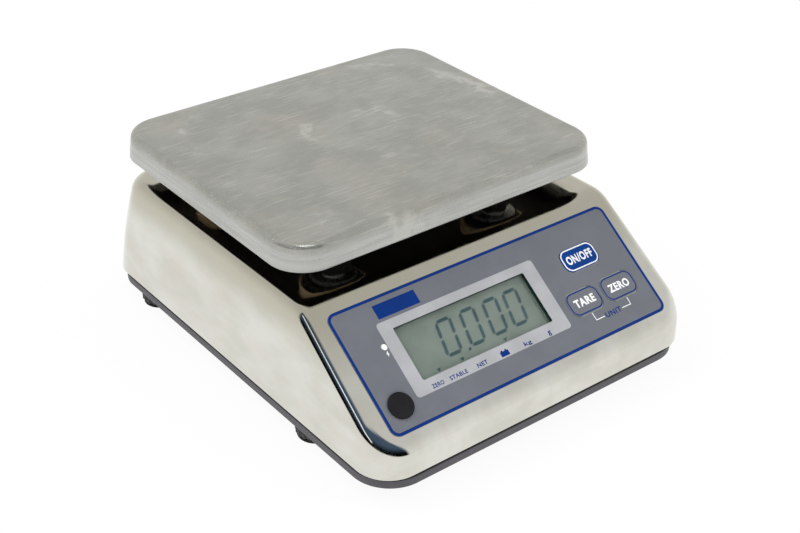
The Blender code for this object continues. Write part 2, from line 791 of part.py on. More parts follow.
def keys():
    """The three keys: a cap that stands a little proud, a flange behind the cover and a nub on the switch."""
    for name, (u, v, _, _) in KEYS.items():
        finish = BLUE_KEY if name == "key_on_off" else GREY_KEY
        cap = key_outline(name)
        key = plate(name, [cap], KEY_FLANGE_TOP - OVERLAP, KEY_PROUD, finish, PANEL, edge=KEY_EDGE)
        flange = key_outline(name, KEY_FLANGE)
        join(
            key,
            plate(f"{name}_flange", [flange], KEY_FLANGE_BOTTOM, KEY_FLANGE_TOP, None, PANEL),
        )
        nub = [circle(KEY_NUB_RADIUS)]
        join(
            key,
            plate(
                f"{name}_nub",
                nub,
                KEY_NUB_BOTTOM,
                KEY_FLANGE_BOTTOM + OVERLAP,
                None,
                PANEL,
                place=(u, v),
            ),
        )


def charge_lamp():
    """The small lamp, a domed lens that stands on the display board."""
    bottom = BOARD_TOP + GAP
    dome = [
        (LAMP_RADIUS * math.sin(angle), LAMP_PROUD - LAMP_DOME * (1 - math.cos(angle)))
        for angle in (0, math.pi / 6, math.pi / 3, math.pi / 2)
    ]
    profile = [*dome, (LAMP_RADIUS, bottom), (0, bottom)]
    place = (*LAMP_CENTRE, 0)
    turned("charge_lamp", profile, WHITE_LENS, place, PANEL, SMALL_FACETS)


def charging_socket():
    """The barrel socket, with its flange behind the cover and a centre pin."""
    radius = socket_radius()
    bore = PLUG_STEM_RADIUS + CLEARANCE
    floor = -PLUG_STEM_LENGTH - CLEARANCE
    flange_top = STEEL_BACK - GAP
    flange_bottom = flange_top - SOCKET_FLANGE_THICKNESS
    back = floor - SOCKET_BACK
    pin_top = floor + SOCKET_PIN_LENGTH
    profile = [
        (0, pin_top),
        (SOCKET_PIN_RADIUS, pin_top),
        (SOCKET_PIN_RADIUS, floor),
        (bore, floor),
        (bore, STEEL_FACE),
        (radius, STEEL_FACE),
        (radius, flange_top),
        (SOCKET_FLANGE_RADIUS, flange_top),
        (SOCKET_FLANGE_RADIUS, flange_bottom),
        (SOCKET_BODY_RADIUS, flange_bottom),
        (SOCKET_BODY_RADIUS, back),
        (0, back),
    ]
    turned("charging_socket", profile, BLACK_PLASTIC, (*PLUG_CENTRE, 0), PANEL)


def socket_plug():
    """The rubber plug: a round head over the socket and a hollow stem in its bore."""
    top = GAP + PLUG_HEIGHT
    bottom = -PLUG_STEM_LENGTH
    inside = SOCKET_PIN_RADIUS + CLEARANCE
    profile = [
        (0, top),
        (PLUG_RADIUS - PLUG_ROUNDING, top - PLUG_CROWN),
        (PLUG_RADIUS - 0.3 * PLUG_ROUNDING, top - PLUG_CROWN - 0.3 * PLUG_ROUNDING),
        (PLUG_RADIUS, top - PLUG_CROWN - PLUG_ROUNDING),
        (PLUG_RADIUS, GAP),
        (PLUG_STEM_RADIUS, GAP),
        (PLUG_STEM_RADIUS, bottom),
        (inside, bottom),
        (inside, bottom + PLUG_STEM_BORE),
        (0, bottom + PLUG_STEM_BORE),
    ]
    turned("socket_plug", profile, BLACK_RUBBER, (*PLUG_CENTRE, 0), PANEL)


def pan_block(wall, below):
    """The pan's form inside a wall: a low block that flares slightly to its lower edge."""
    def inset(height):
        drawn_in = PAN_FLARE * height / PAN_RIM
        return drawn_in, drawn_in, drawn_in

    width = PAN_WIDTH + 2 * PAN_FLARE - 2 * wall
    depth = PAN_DEPTH + 2 * PAN_FLARE - 2 * wall
    block = drafted_block(width, depth, -below, PAN_RIM - wall, inset)
    round_uprights(block, PAN_CORNER - wall)
    round_roof(block, PAN_ROUNDING - wall, 3, PAN_ROUNDING)
    return block


def pan():
    """The lift-off pan: a shallow steel tray turned upside down."""
    place = (0, PAN_Y, PAN_BOTTOM)
    tray = block_object("platter", pan_block(0, 0), BRUSHED_STEEL, place)
    cut(tray, block_object("pan_inside", pan_block(PAN_WALL, BEYOND), None, place))


def cups():
    """Round cups under the pan, which sit over the cushions and keep the pan in place."""
    top = PAN_UNDERSIDE - GAP
    bottom = top - CUP_HEIGHT
    inner = CUP_RADIUS - CUP_WALL
    profile = [(CUP_RADIUS, top), (CUP_RADIUS, bottom), (inner, bottom), (inner, top)]
    for number, (x, y) in enumerate(POSTS, 1):
        turned(f"platter_cup_{number}", profile, POLISHED_STEEL, (x, y, 0), ring=True)


def cushions():
    """Rubber cushions on the posts, which carry the pan."""
    bottom = CUSHION_TOP - CUSHION_HEIGHT
    spigot = POST_SPIGOT_RADIUS + CLEARANCE
    profile = [
        (0, CUSHION_TOP),
        (CUSHION_RADIUS - CUSHION_EDGE, CUSHION_TOP),
        (CUSHION_RADIUS, CUSHION_TOP - CUSHION_EDGE),
        (CUSHION_RADIUS, bottom),
        (spigot, bottom),
        (spigot, bottom + CUSHION_SOCKET),
        (0, bottom + CUSHION_SOCKET),
    ]
    for number, (x, y) in enumerate(POSTS, 1):
        turned(f"post_cushion_{number}", profile, BLACK_RUBBER, (x, y, 0))


def posts():
    """Turned posts from the spider up through the cover, with a spigot at each end."""
    spigot_top = POST_HEAD_TOP + CUSHION_SOCKET
    flange_bottom = SPIDER_TOP + GAP
    profile = [
        (0, spigot_top),
        (POST_SPIGOT_RADIUS, spigot_top),
        (POST_SPIGOT_RADIUS, POST_HEAD_TOP),
        (POST_HEAD_RADIUS, POST_HEAD_TOP),
        (POST_HEAD_RADIUS, POST_HEAD_TOP - POST_HEAD_HEIGHT),
        (POST_RADIUS, POST_HEAD_TOP - POST_HEAD_HEIGHT),
        (POST_RADIUS, flange_bottom + POST_FLANGE_HEIGHT),
        (POST_FLANGE_RADIUS, flange_bottom + POST_FLANGE_HEIGHT),
        (POST_FLANGE_RADIUS, flange_bottom),
        (POST_SPIGOT_RADIUS, flange_bottom),
        (POST_SPIGOT_RADIUS, SPIDER_BOTTOM - GAP),
        (0, SPIDER_BOTTOM - GAP),
    ]
    for number, (x, y) in enumerate(POSTS, 1):
        turned(f"support_post_{number}", profile, PLATED_STEEL, (x, y, 0), facets=SMALL_FACETS)


def boot_profile():
    """Bellows: a flange on the cover, folds that narrow upwards and a collar round the post."""
    low = COVER_TOP + GAP
    fold_low = low + BOOT_WALL
    fold_height = BOOT_HEIGHT - BOOT_WALL - BOOT_COLLAR
    neck = POST_RADIUS + GAP + BOOT_WALL
    outer = [(neck, low + BOOT_HEIGHT)]
    steps = 2 * BOOT_FOLD_COUNT
    for step in range(steps + 1):
        share = step / steps
        wide = neck + (POST_HOLE_RADIUS - neck) * share
        ripple = BOOT_WALL if step % 2 else 0
        outer.append((wide + ripple, fold_low + fold_height * (1 - share)))
    inner = [(radius - BOOT_WALL, height) for radius, height in reversed(outer)]
    inner[0] = (inner[0][0], low)
    return [*outer, (BOOT_RADIUS, fold_low), (BOOT_RADIUS, low), *inner]


def boots():
    """Rubber bellows that close the gap round each post."""
    for number, (x, y) in enumerate(POSTS, 1):
        turned(
            f"post_boot_{number}",
            boot_profile(),
            BLACK_RUBBER,
            (x, y, 0),
            facets=SMALL_FACETS,
            ring=True,
        )


def spider_outline():
    """Four arms to the posts, and a bar across the middle that covers the cell's block."""
    half_arm = SPIDER_ARM / 2
    half_bar = SPIDER_BAR_DEPTH / 2
    bar_end = BLOCK_X + BLOCK_LENGTH / 2
    lean = math.atan2(POST_Y, POST_X)
    crotch_x = (half_bar * math.cos(lean) + half_arm) / math.sin(lean)
    crotch_y = half_arm / math.cos(lean)
    arm = [
        (
            POST_X + half_arm * math.cos(lean + angle),
            POST_Y + half_arm * math.sin(lean + angle),
        )
        for angle in (math.pi * (step / 8 - 0.5) for step in range(9))
    ]
    quarter = [(bar_end, half_bar), (crotch_x, half_bar), *arm]
    left = [(-x, y) for x, y in reversed(quarter)]
    upper = [*quarter, (0, crotch_y), *left]
    lower = [(-x, -y) for x, y in upper]
    return upper + lower


def spider():
    """The frame that joins the cell's free end to the posts, with a rib along each arm."""
    frame = plate(
        "spider", [spider_outline()], SPIDER_BOTTOM, SPIDER_TOP, ALUMINIUM, place=(0, PAN_Y)
    )
    reach = math.hypot(POST_X, POST_Y) - POST_FLANGE_RADIUS - CLEARANCE
    lean = math.atan2(POST_Y, POST_X)
    for side in (-1, 1):
        height = SPIDER_RIB_HEIGHT + (OVERLAP if side > 0 else 0)
        size = (2 * reach, SPIDER_RIB, height + OVERLAP)
        middle = SPIDER_TOP + (height - OVERLAP) / 2
        rib = box(f"spider_rib_{side}", size, (0, PAN_Y, middle), None)
        rib.rotation_euler = Euler((0, 0, side * lean))
        join(frame, rib)
    for x, y in POSTS:
        low = SPIDER_BOTTOM - BEYOND
        hole(frame, POST_SPIGOT_RADIUS + CLEARANCE, x, y, low, SPIDER_TOP + BEYOND)


def weighing_cell():
    """The aluminium bending beam with its double bore, between two blocks, and the stop under its free end."""
    size = (CELL_LENGTH, CELL_WIDTH, CELL_HEIGHT)
    middle = (CELL_TOP + CELL_BOTTOM) / 2
    cell = box("load_cell", size, (0, PAN_Y, middle), ALUMINIUM, edge=BLOCK_EDGE)
    reach = CELL_WIDTH / 2 + BEYOND
    for side in (-1, 1):
        bore = plate(
            f"cell_bore_{side}", [circle(CELL_BORE, facets=ROUND_FACETS)], -reach, reach, None
        )
        bore.location = (side * CELL_BORE_PITCH / 2, PAN_Y, middle)
        bore.rotation_euler = Euler((math.pi / 2, 0, 0))
        cut(cell, bore)
    slot = box("cell_slot", (CELL_BORE_PITCH, 2 * reach, CELL_BORE), (0, PAN_Y, middle), None)
    cut(cell, slot)
    block = (BLOCK_LENGTH, CELL_WIDTH, BASE_BLOCK_HEIGHT)
    place = (-BLOCK_X, PAN_Y, FLOOR_TOP + GAP + BASE_BLOCK_HEIGHT / 2)
    box("cell_base_block", block, place, ALUMINIUM, edge=BLOCK_EDGE)
    block = (BLOCK_LENGTH, CELL_WIDTH, TOP_BLOCK_HEIGHT)
    place = (BLOCK_X, PAN_Y, CELL_TOP + GAP + TOP_BLOCK_HEIGHT / 2)
    box("cell_top_block", block, place, ALUMINIUM, edge=BLOCK_EDGE)
    low = FLOOR_TOP + GAP
    high = CELL_BOTTOM - STOP_AIR
    profile = [
        (0, high),
        (0.6 * STOP_RADIUS, high),
        (0.6 * STOP_RADIUS, (low + high) / 2),
        (STOP_RADIUS, (low + high) / 2),
        (STOP_RADIUS, low),
        (0, low),
    ]
    place = (CELL_LENGTH / 2 - STOP_RADIUS, PAN_Y, 0)
    turned("overload_stop", profile, PLATED_STEEL, place, facets=SMALL_FACETS)


def battery_front():
    """The battery's front face, behind the weighing cell."""
    return PAN_Y + CELL_WIDTH / 2 + BATTERY_SPACE


def battery():
    """The rechargeable battery, and the strap that holds it down on the base."""
    y = battery_front() + BATTERY_WIDTH / 2
    low = FLOOR_TOP + GAP
    size = (BATTERY_LENGTH, BATTERY_WIDTH, BATTERY_HEIGHT)
    box("battery", size, (0, y, low + BATTERY_HEIGHT / 2), BLACK_PLASTIC, edge=BATTERY_EDGE)
    inner = BATTERY_WIDTH / 2 + GAP
    outer = inner + CLAMP_THICKNESS
    roof = low + BATTERY_HEIGHT + GAP
    foot = low + CLAMP_THICKNESS
    outline = [
        (outer + CLAMP_FOOT, low),
        (outer + CLAMP_FOOT, foot),
        (outer, foot),
        (outer, roof + CLAMP_THICKNESS),
        (-outer, roof + CLAMP_THICKNESS),
        (-outer, low),
        (-inner, low),
        (-inner, roof),
        (inner, roof),
        (inner, low),
    ]
    strap = plate(
        "battery_clamp", [outline], -CLAMP_WIDTH / 2, CLAMP_WIDTH / 2, PLATED_STEEL
    )
    strap.location = (0, y, 0)
    strap.rotation_euler = Euler((math.pi / 2, 0, math.pi / 2))


def board_y():
    """The main board's middle, along Y."""
    return FRONT + MAIN_BOARD_FROM_FRONT


def board_corners():
    """The places of the stand-offs under the main board."""
    half_width = MAIN_BOARD_WIDTH / 2 - STANDOFF_INSET
    half_depth = MAIN_BOARD_DEPTH / 2 - STANDOFF_INSET
    return [
        (MAIN_BOARD_X + side * half_width, board_y() + end * half_depth)
        for end in (-1, 1)
        for side in (-1, 1)
    ]


def board_bottom():
    """The main board's underside."""
    return FLOOR_TOP + MAIN_BOARD_LIFT + GAP


def main_board():
    """The main board with its connectors, and the shield over the amplifier."""
    low = board_bottom()
    top = low + BOARD_THICKNESS
    size = (MAIN_BOARD_WIDTH, MAIN_BOARD_DEPTH, BOARD_THICKNESS)
    centre = (MAIN_BOARD_X, board_y(), low + BOARD_THICKNESS / 2)
    board = box("main_board", size, centre, GREEN_BOARD)
    for name, (x, y, width, depth, height) in BOARD_PARTS.items():
        place = (MAIN_BOARD_X + x, board_y() + y, top + (height - OVERLAP) / 2)
        join(board, box(name, (width, depth, height + OVERLAP), place, None))
    size = (SHIELD_WIDTH, SHIELD_DEPTH, SHIELD_HEIGHT)
    x, y = SHIELD_PLACE
    place = (MAIN_BOARD_X + x, board_y() + y, top + GAP + SHIELD_HEIGHT / 2)
    box("amplifier_shield", size, place, PLATED_STEEL, edge=BLOCK_EDGE)


def connector_face(name):
    """The middle of a connector's rear face on the main board, where a lead ends."""
    x, y, _, depth, height = BOARD_PARTS[name]
    top = board_bottom() + BOARD_THICKNESS
    return Vector((MAIN_BOARD_X + x, board_y() + y + depth / 2 + GAP, top + height / 2))


def leads():
    """The cell's cable and the battery's lead, both to connectors on the main board."""
    front = PAN_Y - CELL_WIDTH / 2
    left = Vector((-1, 0, 0))
    back = Vector((0, 1, 0))
    up = Vector((0, 0, 1))

    end = connector_face("cell_connector")
    start_point = Vector((-CELL_LENGTH / 2 - GAP, PAN_Y, CELL_BOTTOM + CELL_LEAD_SHARE * CELL_HEIGHT))
    turn = start_point + left * CELL_LEAD_REACH - back * LEAD_BEND
    cell_route = [
        start_point,
        start_point + left * LEAD_STRAIGHT,
        start_point + left * 2 * LEAD_STRAIGHT,
        turn,
        Vector((turn.x, front - CELL_LEAD_REACH, turn.z - LEAD_BEND)),
        end + back * 3 * LEAD_BEND + left * LEAD_RADIUS + up * LEAD_RADIUS,
        end + back * 2 * LEAD_STRAIGHT,
        end + back * LEAD_STRAIGHT,
        end,
    ]
    lead("load_cell_cable", cell_route, LEAD_RADIUS, BLACK_RUBBER)

    end = connector_face("battery_connector")
    lead_z = FLOOR_TOP + BATTERY_LEAD_SHARE * BATTERY_HEIGHT
    battery_y = battery_front() + BATTERY_WIDTH / 2
    start_point = Vector((-BATTERY_LENGTH / 2 - GAP, battery_y, lead_z))
    outermost = max(BATTERY_LENGTH, CELL_LENGTH) / 2 + BATTERY_LEAD_REACH
    turn = Vector((-outermost, battery_y - 3 * LEAD_BEND, lead_z - LEAD_BEND))
    battery_route = [
        start_point,
        start_point + left * LEAD_STRAIGHT,
        start_point + left * 2 * LEAD_STRAIGHT,
        turn,
        Vector((turn.x, front - LEAD_STRAIGHT, end.z + 1.5 * LEAD_BEND)),
        Vector((turn.x + LEAD_BEND, front - 5 * LEAD_BEND, end.z + 2 * LEAD_BEND)),
        end + back * 3 * LEAD_BEND + left * LEAD_RADIUS + up * LEAD_BEND,
        end + back * 2 * LEAD_STRAIGHT,
        end + back * LEAD_STRAIGHT,
        end,
    ]
    lead("battery_lead", battery_route, LEAD_RADIUS, BLACK_RUBBER)


def knob_outline():
    """A scalloped outline: rounded lobes with shallow flutes between them."""
    count = 3 * KNOB_LOBES
    points = []
    for step in range(count):
        angle = math.tau * step / count
        dip = 0.5 - 0.5 * math.cos(KNOB_LOBES * angle)
        radius = KNOB_RADIUS - KNOB_FLUTE * dip
        points.append((radius * math.cos(angle), radius * math.sin(angle)))
    return points


def feet():
    """Levelling feet: a scalloped knob with its stud, which turns on a rubber sole."""
    stud_top = KNOB_TOP + STUD_LENGTH
    swivel_top = SOLE_HEIGHT + SWIVEL_HEIGHT
    sole = [
        (0, swivel_top),
        (SWIVEL_RADIUS, swivel_top),
        (SWIVEL_RADIUS, SOLE_HEIGHT),
        (SOLE_RADIUS, SOLE_HEIGHT),
        (SOLE_RADIUS, SOLE_EDGE),
        (SOLE_RADIUS - SOLE_EDGE, 0),
        (0, 0),
    ]
    for number, (x, y) in enumerate(FEET, 1):
        turned(f"foot_sole_{number}", sole, BLACK_RUBBER, (x, y, 0), facets=SMALL_FACETS)
        knob = plate(
            f"foot_knob_{number}",
            [knob_outline()],
            KNOB_BOTTOM,
            KNOB_TOP,
            BLACK_PLASTIC,
            place=(x, y),
        )
        boss(knob, STUD_RADIUS, x, y, KNOB_TOP - OVERLAP, stud_top)
        hole(knob, SWIVEL_RADIUS + CLEARANCE, x, y, 0, swivel_top + GAP)


def main():
    base_plate()
    cover_gasket()
    top_cover()
    cover_rails()
    base_screws()
    overlay()
    display()
    display_board()
    keys()
    charge_lamp()
    charging_socket()
    socket_plug()
    pan()
    cups()
    cushions()
    posts()
    boots()
    spider()
    weighing_cell()
    battery()
    main_board()
    leads()
    feet()


main()
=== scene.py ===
"""The looks of a waterproof table scale: smooth steel, printed panel, display, keys, rubber and feet.

Every new piece is a surface worked out with numpy, in metres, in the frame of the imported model.
"""

import json
import math

import bmesh
import bpy
import numpy as np
from mathutils import Matrix, Vector

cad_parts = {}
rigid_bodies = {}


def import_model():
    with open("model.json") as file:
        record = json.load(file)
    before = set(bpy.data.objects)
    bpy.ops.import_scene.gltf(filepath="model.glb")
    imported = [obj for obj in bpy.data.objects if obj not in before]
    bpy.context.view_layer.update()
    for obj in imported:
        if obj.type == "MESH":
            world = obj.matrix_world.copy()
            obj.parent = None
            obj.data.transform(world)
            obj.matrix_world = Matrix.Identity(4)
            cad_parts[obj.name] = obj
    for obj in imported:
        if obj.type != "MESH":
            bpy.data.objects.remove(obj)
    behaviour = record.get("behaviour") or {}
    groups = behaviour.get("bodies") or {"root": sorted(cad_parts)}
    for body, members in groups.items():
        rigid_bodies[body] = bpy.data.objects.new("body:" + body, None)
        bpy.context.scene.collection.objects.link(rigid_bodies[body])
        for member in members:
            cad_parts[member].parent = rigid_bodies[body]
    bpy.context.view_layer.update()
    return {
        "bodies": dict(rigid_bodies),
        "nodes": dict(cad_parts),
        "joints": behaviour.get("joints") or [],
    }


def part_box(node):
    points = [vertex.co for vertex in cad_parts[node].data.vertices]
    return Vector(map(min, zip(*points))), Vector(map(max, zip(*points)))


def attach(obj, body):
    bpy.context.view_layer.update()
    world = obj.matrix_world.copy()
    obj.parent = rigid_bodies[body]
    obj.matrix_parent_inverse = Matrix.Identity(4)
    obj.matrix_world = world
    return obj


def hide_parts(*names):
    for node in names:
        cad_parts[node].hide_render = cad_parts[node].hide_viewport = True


bl_info = {
    "name": "Waterproof table scale",
    "version": (1, 0, 0),
    "blender": (4, 5, 0),
    "location": "View3D > Sidebar > Table scale",
    "description": "Builds the pieces, finishes and stage of a waterproof table scale",
    "category": "Object",
}

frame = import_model()

MM = 0.001
GAP = 0.3 * MM
INK = (-0.02 * MM, 0.03 * MM)


def linear(code):
    """The linear RGBA colour of an sRGB hex value."""
    parts = np.array([int(code[at : at + 2], 16) / 255 for at in (1, 3, 5)])
    curved = ((parts + 0.055) / 1.055) ** 2.4
    return (*np.where(parts <= 0.04045, parts / 12.92, curved).tolist(), 1.0)


def centre_of(node):
    """The middle of a CAD node's box."""
    low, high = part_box(node)
    return (low + high) / 2


def panel_frame():
    """The printed panel's frame: u to the right, v up the slope, z out of the printed face."""
    joint = next(row for row in frame["joints"] if row["name"] == "on_off_press")
    out = Vector(joint["axis"]).normalized()
    right = Vector((1, 0, 0))
    up = out.cross(right)
    origin = centre_of("overlay_panel") + out * 0.25 * MM
    turn = Matrix((right, up, out)).transposed().to_4x4()
    return Matrix.Translation(origin) @ turn


PANEL = panel_frame()


# Surfaces


def place_rows(points, matrix):
    """Points carried into the row frame by a matrix."""
    turn = np.array(matrix.to_3x3())
    return points @ turn.T + np.array(matrix.translation)


def piece(name, vertices, faces, finish, sharp=35, second=None):
    """An object from arrays of points and faces, with doubled points merged and faces without area dropped.

    A second finish goes on the faces from a given one onwards.
    """
    mesh = bpy.data.meshes.new(name)
    mesh.from_pydata(vertices.reshape(-1, 3).tolist(), [], faces)
    if second:
        later = np.arange(len(faces)) >= second[1]
        mesh.polygons.foreach_set("material_index", later.astype(np.int32))
    work = bmesh.new()
    work.from_mesh(mesh)
    bmesh.ops.remove_doubles(work, verts=work.verts, dist=0.5e-6)
    bmesh.ops.dissolve_degenerate(work, edges=work.edges, dist=0.5e-6)
    work.to_mesh(mesh)
    work.free()
    mesh.shade_smooth()
    mesh.set_sharp_from_angle(angle=math.radians(sharp))
    mesh.materials.append(finish)
    if second:
        mesh.materials.append(second[0])
    made = bpy.data.objects.new(name, mesh)
    bpy.context.scene.collection.objects.link(made)
    return made


def grid_faces(rows, columns, wrap_rows=False, keep=None):
    """The corners of every face of a grid whose last column joins its first, with rows down the outer side."""
    row_count = rows if wrap_rows else rows - 1
    row, column = np.meshgrid(np.arange(row_count), np.arange(columns), indexing="ij")
    below = (row + 1) % rows
    beside = (column + 1) % columns
    corners = [(row, column), (below, column), (below, beside), (row, beside)]
    faces = np.stack([down * columns + along for down, along in corners], -1).reshape(-1, 4)
    if keep is not None:
        faces = faces[keep.reshape(-1)]
    return faces.tolist()


def sheet(name, grid, finish, wrap_rows=False, keep=None, sharp=35, second=None):
    """A piece from a grid of points (rows, columns, 3), closed round its columns."""
    rows, columns, _ = grid.shape
    return piece(name, grid, grid_faces(rows, columns, wrap_rows, keep), finish, sharp, second)


def eased(profile, ease, steps=5, ring=False):
    """A profile with its corners rounded.

    Round each corner runs the parabola that leaves the line just before the corner and joins it just after.
    """
    points = np.array(profile, float)
    before = np.roll(points, 1, 0)
    after = np.roll(points, -1, 0)
    back = np.linalg.norm(before - points, axis=1, keepdims=True)
    ahead = np.linalg.norm(after - points, axis=1, keepdims=True)
    leg_in = np.minimum(ease, 0.45 * back)
    leg_out = np.minimum(ease, 0.45 * ahead)
    if not ring:
        leg_in[[0, -1]] = 0
        leg_out[[0, -1]] = 0
    first = points + (before - points) * leg_in / np.maximum(back, 1e-9)
    last = points + (after - points) * leg_out / np.maximum(ahead, 1e-9)
    t = np.linspace(0, 1, steps)[None, :, None]
    curve = (1 - t) ** 2 * first[:, None] + 2 * t * (1 - t) * points[:, None] + t**2 * last[:, None]
    return curve.reshape(-1, 2)


def turned(profile, centre, count=64):
    """A surface of revolution: each profile point (radius, height) goes round the upright through a centre."""
    angle = np.linspace(0, 2 * np.pi, count, endpoint=False)
    radius = profile[:, 0, None]
    x = centre[0] + radius * np.cos(angle)
    y = centre[1] + radius * np.sin(angle)
    z = centre[2] + np.broadcast_to(profile[:, 1, None], x.shape)
    return np.stack([x, y, z], -1)


def round_trip(sides, ends, corners):
    """Places round a rectangle with round corners, counter-clockwise from the right side.

    Each place has a share across, a share along and the direction of its normal. A side runs along its
    core edge with a steady normal, and a corner turns its normal through a quarter about one core corner.
    """
    side = np.arange(sides) / sides
    end = np.arange(ends) / ends
    bend = np.arange(corners) / corners
    quarter = [0 * side, bend, 1 + 0 * end, 1 + bend, 2 + 0 * side, 2 + bend, 3 + 0 * end, 3 + bend]
    across = np.concatenate([
        np.ones(sides), np.ones(corners), 1 - 2 * end, -np.ones(corners),
        -np.ones(sides), -np.ones(corners), -1 + 2 * end, np.ones(corners),
    ])
    along = np.concatenate([
        side, np.ones(corners), np.ones(ends), np.ones(corners),
        1 - side, np.zeros(corners), np.zeros(ends), np.zeros(corners),
    ])
    return across, along, np.concatenate(quarter) * np.pi / 2


SMALL_TRIP = round_trip(6, 6, 12)


def outline(width, depth, corner, centre=(0, 0), trip=SMALL_TRIP):
    """The outline of a rectangle with round corners: core rectangle plus the corner radius along the normal."""
    across, along, angle = trip
    x = centre[0] + across * (width / 2 - corner) + corner * np.cos(angle)
    y = centre[1] + (2 * along - 1) * (depth / 2 - corner) + corner * np.sin(angle)
    return np.stack([x, y], -1)


def at_level(line, level):
    """An outline lifted to a height."""
    return np.column_stack([line, np.full(len(line), level)])


def printed_ring(outer, inner, low, high):
    """A flat printed ring: its four-cornered section goes round between two outlines."""
    rows = [(inner, low), (inner, high), (outer, high), (outer, low)]
    return np.stack([at_level(line, level) for line, level in rows])


def prisms(outlines, low, high):
    """Flat shapes with thickness: each outline (shapes, corners, 2) is lifted from one height to another."""
    shapes, corners, _ = outlines.shape
    levels = [np.concatenate([outlines, np.full((shapes, corners, 1), z)], -1) for z in (high, low)]
    vertices = np.stack(levels, 1).reshape(-1, 3)
    faces = []
    for shape in range(shapes):
        top = shape * 2 * corners + np.arange(corners)
        bottom = top + corners
        faces += [top.tolist(), bottom[::-1].tolist()]
        sides = np.stack([top, bottom, np.roll(bottom, -1), np.roll(top, -1)], -1)
        faces += sides.tolist()
    return vertices, faces


def bar(first, last, width):
    """The four corners of a straight stroke of a width between two points."""
    first, last = np.array(first), np.array(last)
    along = (last - first) / np.linalg.norm(last - first)
    aside = np.array([-along[1], along[0]]) * width / 2
    return np.array([first - aside, last - aside, last + aside, first + aside])


def drawn_shell(form, foot, trip, rings, arc, risers, pole):
    """The face of a drawn steel shell, in rows from the middle of its roof down to its foot.

    The wall at height k is a round-cornered rectangle, drawn in on each side by draft * k + bulge * k^2 / height.
    The roof is a height over each place. Where wall and roof meet, both are left at an equal distance, and a
    circular arc, written as a rational parabola, joins them. The roof's rows shrink towards its pole.
    """
    across, along, angle = trip
    width, depth, height = form["width"], form["depth"], form["height"]
    corner, rounding = form["corner"], form["rounding"]
    drafts, bulges = form["drafts"], form["bulges"]
    roof, slope = form["roof"], form["slope"]
    out = np.stack([np.cos(angle), np.sin(angle)], -1)

    def edges(k):
        side, front, rear = (d * k + b * k * k / height for d, b in zip(drafts, bulges))
        return width / 2 - side, -depth / 2 + front, depth / 2 - rear

    def wall(k):
        half, front, rear = edges(k)
        x = across * (half - corner) + corner * out[:, 0]
        y = (front + corner) * (1 - along) + (rear - corner) * along + corner * out[:, 1]
        return np.stack([x, y, k], -1)

    def onto_wall(points):
        half, front, rear = edges(points[..., 2])
        core_x = np.clip(points[..., 0], corner - half, half - corner)
        core_y = np.clip(points[..., 1], front + corner, rear - corner)
        away = np.stack([points[..., 0] - core_x, points[..., 1] - core_y], -1)
        away = away / np.linalg.norm(away, axis=-1, keepdims=True)
        placed = np.stack([core_x + corner * away[..., 0], core_y + corner * away[..., 1], points[..., 2]], -1)
        return placed, away

    def unit(vectors):
        return vectors / np.linalg.norm(vectors, axis=-1, keepdims=True)

    def lean(k, away):
        side, front, rear = (d + 2 * b * k / height for d, b in zip(drafts, bulges))
        end = np.where(away[:, 1] > 0, rear, front)
        return unit(np.column_stack([away, side * abs(away[:, 0]) + end * abs(away[:, 1])]))

    k = np.full(len(angle), height)
    for _ in range(40):
        k = roof(wall(k)[:, 1])
    edge = wall(k)
    along_edge = unit(np.roll(edge, -1, 0) - np.roll(edge, 1, 0))
    down = np.cross(along_edge, lean(k, out))
    down *= np.where(down[:, 2:] > 0, -1, 1)
    low, away = onto_wall(edge + rounding * down)
    rise = np.cross(lean(low[:, 2], away), along_edge)
    rise *= np.where(rise[:, 2:] < 0, -1, 1)
    roof_normal = unit(np.stack([0 * k, -slope(edge[:, 1]), 1 + 0 * k], -1))
    reach = np.sum((edge - low) * roof_normal, 1) / np.sum(rise * roof_normal, 1)
    control = low + reach[:, None] * rise
    inward = np.cross(roof_normal, along_edge)
    inward *= np.where(np.sum(inward[:, :2] * out, 1) > 0, -1, 1)[:, None]
    high = control + reach[:, None] * inward
    high[:, 2] = roof(high[:, 1])

    weight = np.sqrt(np.clip((1 + np.sum(rise * inward, 1)) / 2, 0, 1))[None, :, None]
    t = np.linspace(0, 1, arc)[:, None, None]
    bend = (1 - t) ** 2 * high + 2 * t * (1 - t) * weight * control + t**2 * low
    bend = bend / ((1 - t) ** 2 + 2 * t * (1 - t) * weight + t**2)

    share = np.linspace(0, 1, rings)[:-1, None]
    x = pole[0] * (1 - share) + share * high[:, 0]
    y = pole[1] * (1 - share) + share * high[:, 1]
    top = np.stack([x, y, roof(y)], -1)

    start = wall(np.full(len(angle), foot))
    share = np.linspace(1, 0, risers)[1:, None, None]
    side, _ = onto_wall(start * (1 - share) + low * share)
    return np.concatenate([top, bend, side])


def thick_shell(form, wall, trip, rings, inner_rings, pole):
    """A closed shell of a wall thickness: its outer face, a half-round lower edge, and its inner face.

    The row at which the inner face starts comes with it.
    """
    outer = drawn_shell(form, wall / 2, trip, rings, 12, 26, pole)
    inside = dict(form)
    for key in ("width", "depth"):
        inside[key] = form[key] - 2 * wall
    inside["corner"] = form["corner"] - wall
    inside["rounding"] = form["rounding"] - wall
    inside["roof"] = lambda y: form["roof"](y) - wall * np.sqrt(1 + form["slope"](y) ** 2)
    inner = drawn_shell(inside, wall / 2, trip, inner_rings, 6, 10, pole)[::-1]
    beta = np.linspace(0, np.pi, 7)[1:-1, None, None]
    share = (1 - np.cos(beta)) / 2
    lip = outer[-1] * (1 - share) + inner[0] * share
    lip[..., 2] = wall / 2 * (1 - np.sin(beta[..., 0]))
    return np.concatenate([outer, lip, inner]), len(outer) + len(lip)


# Finishes


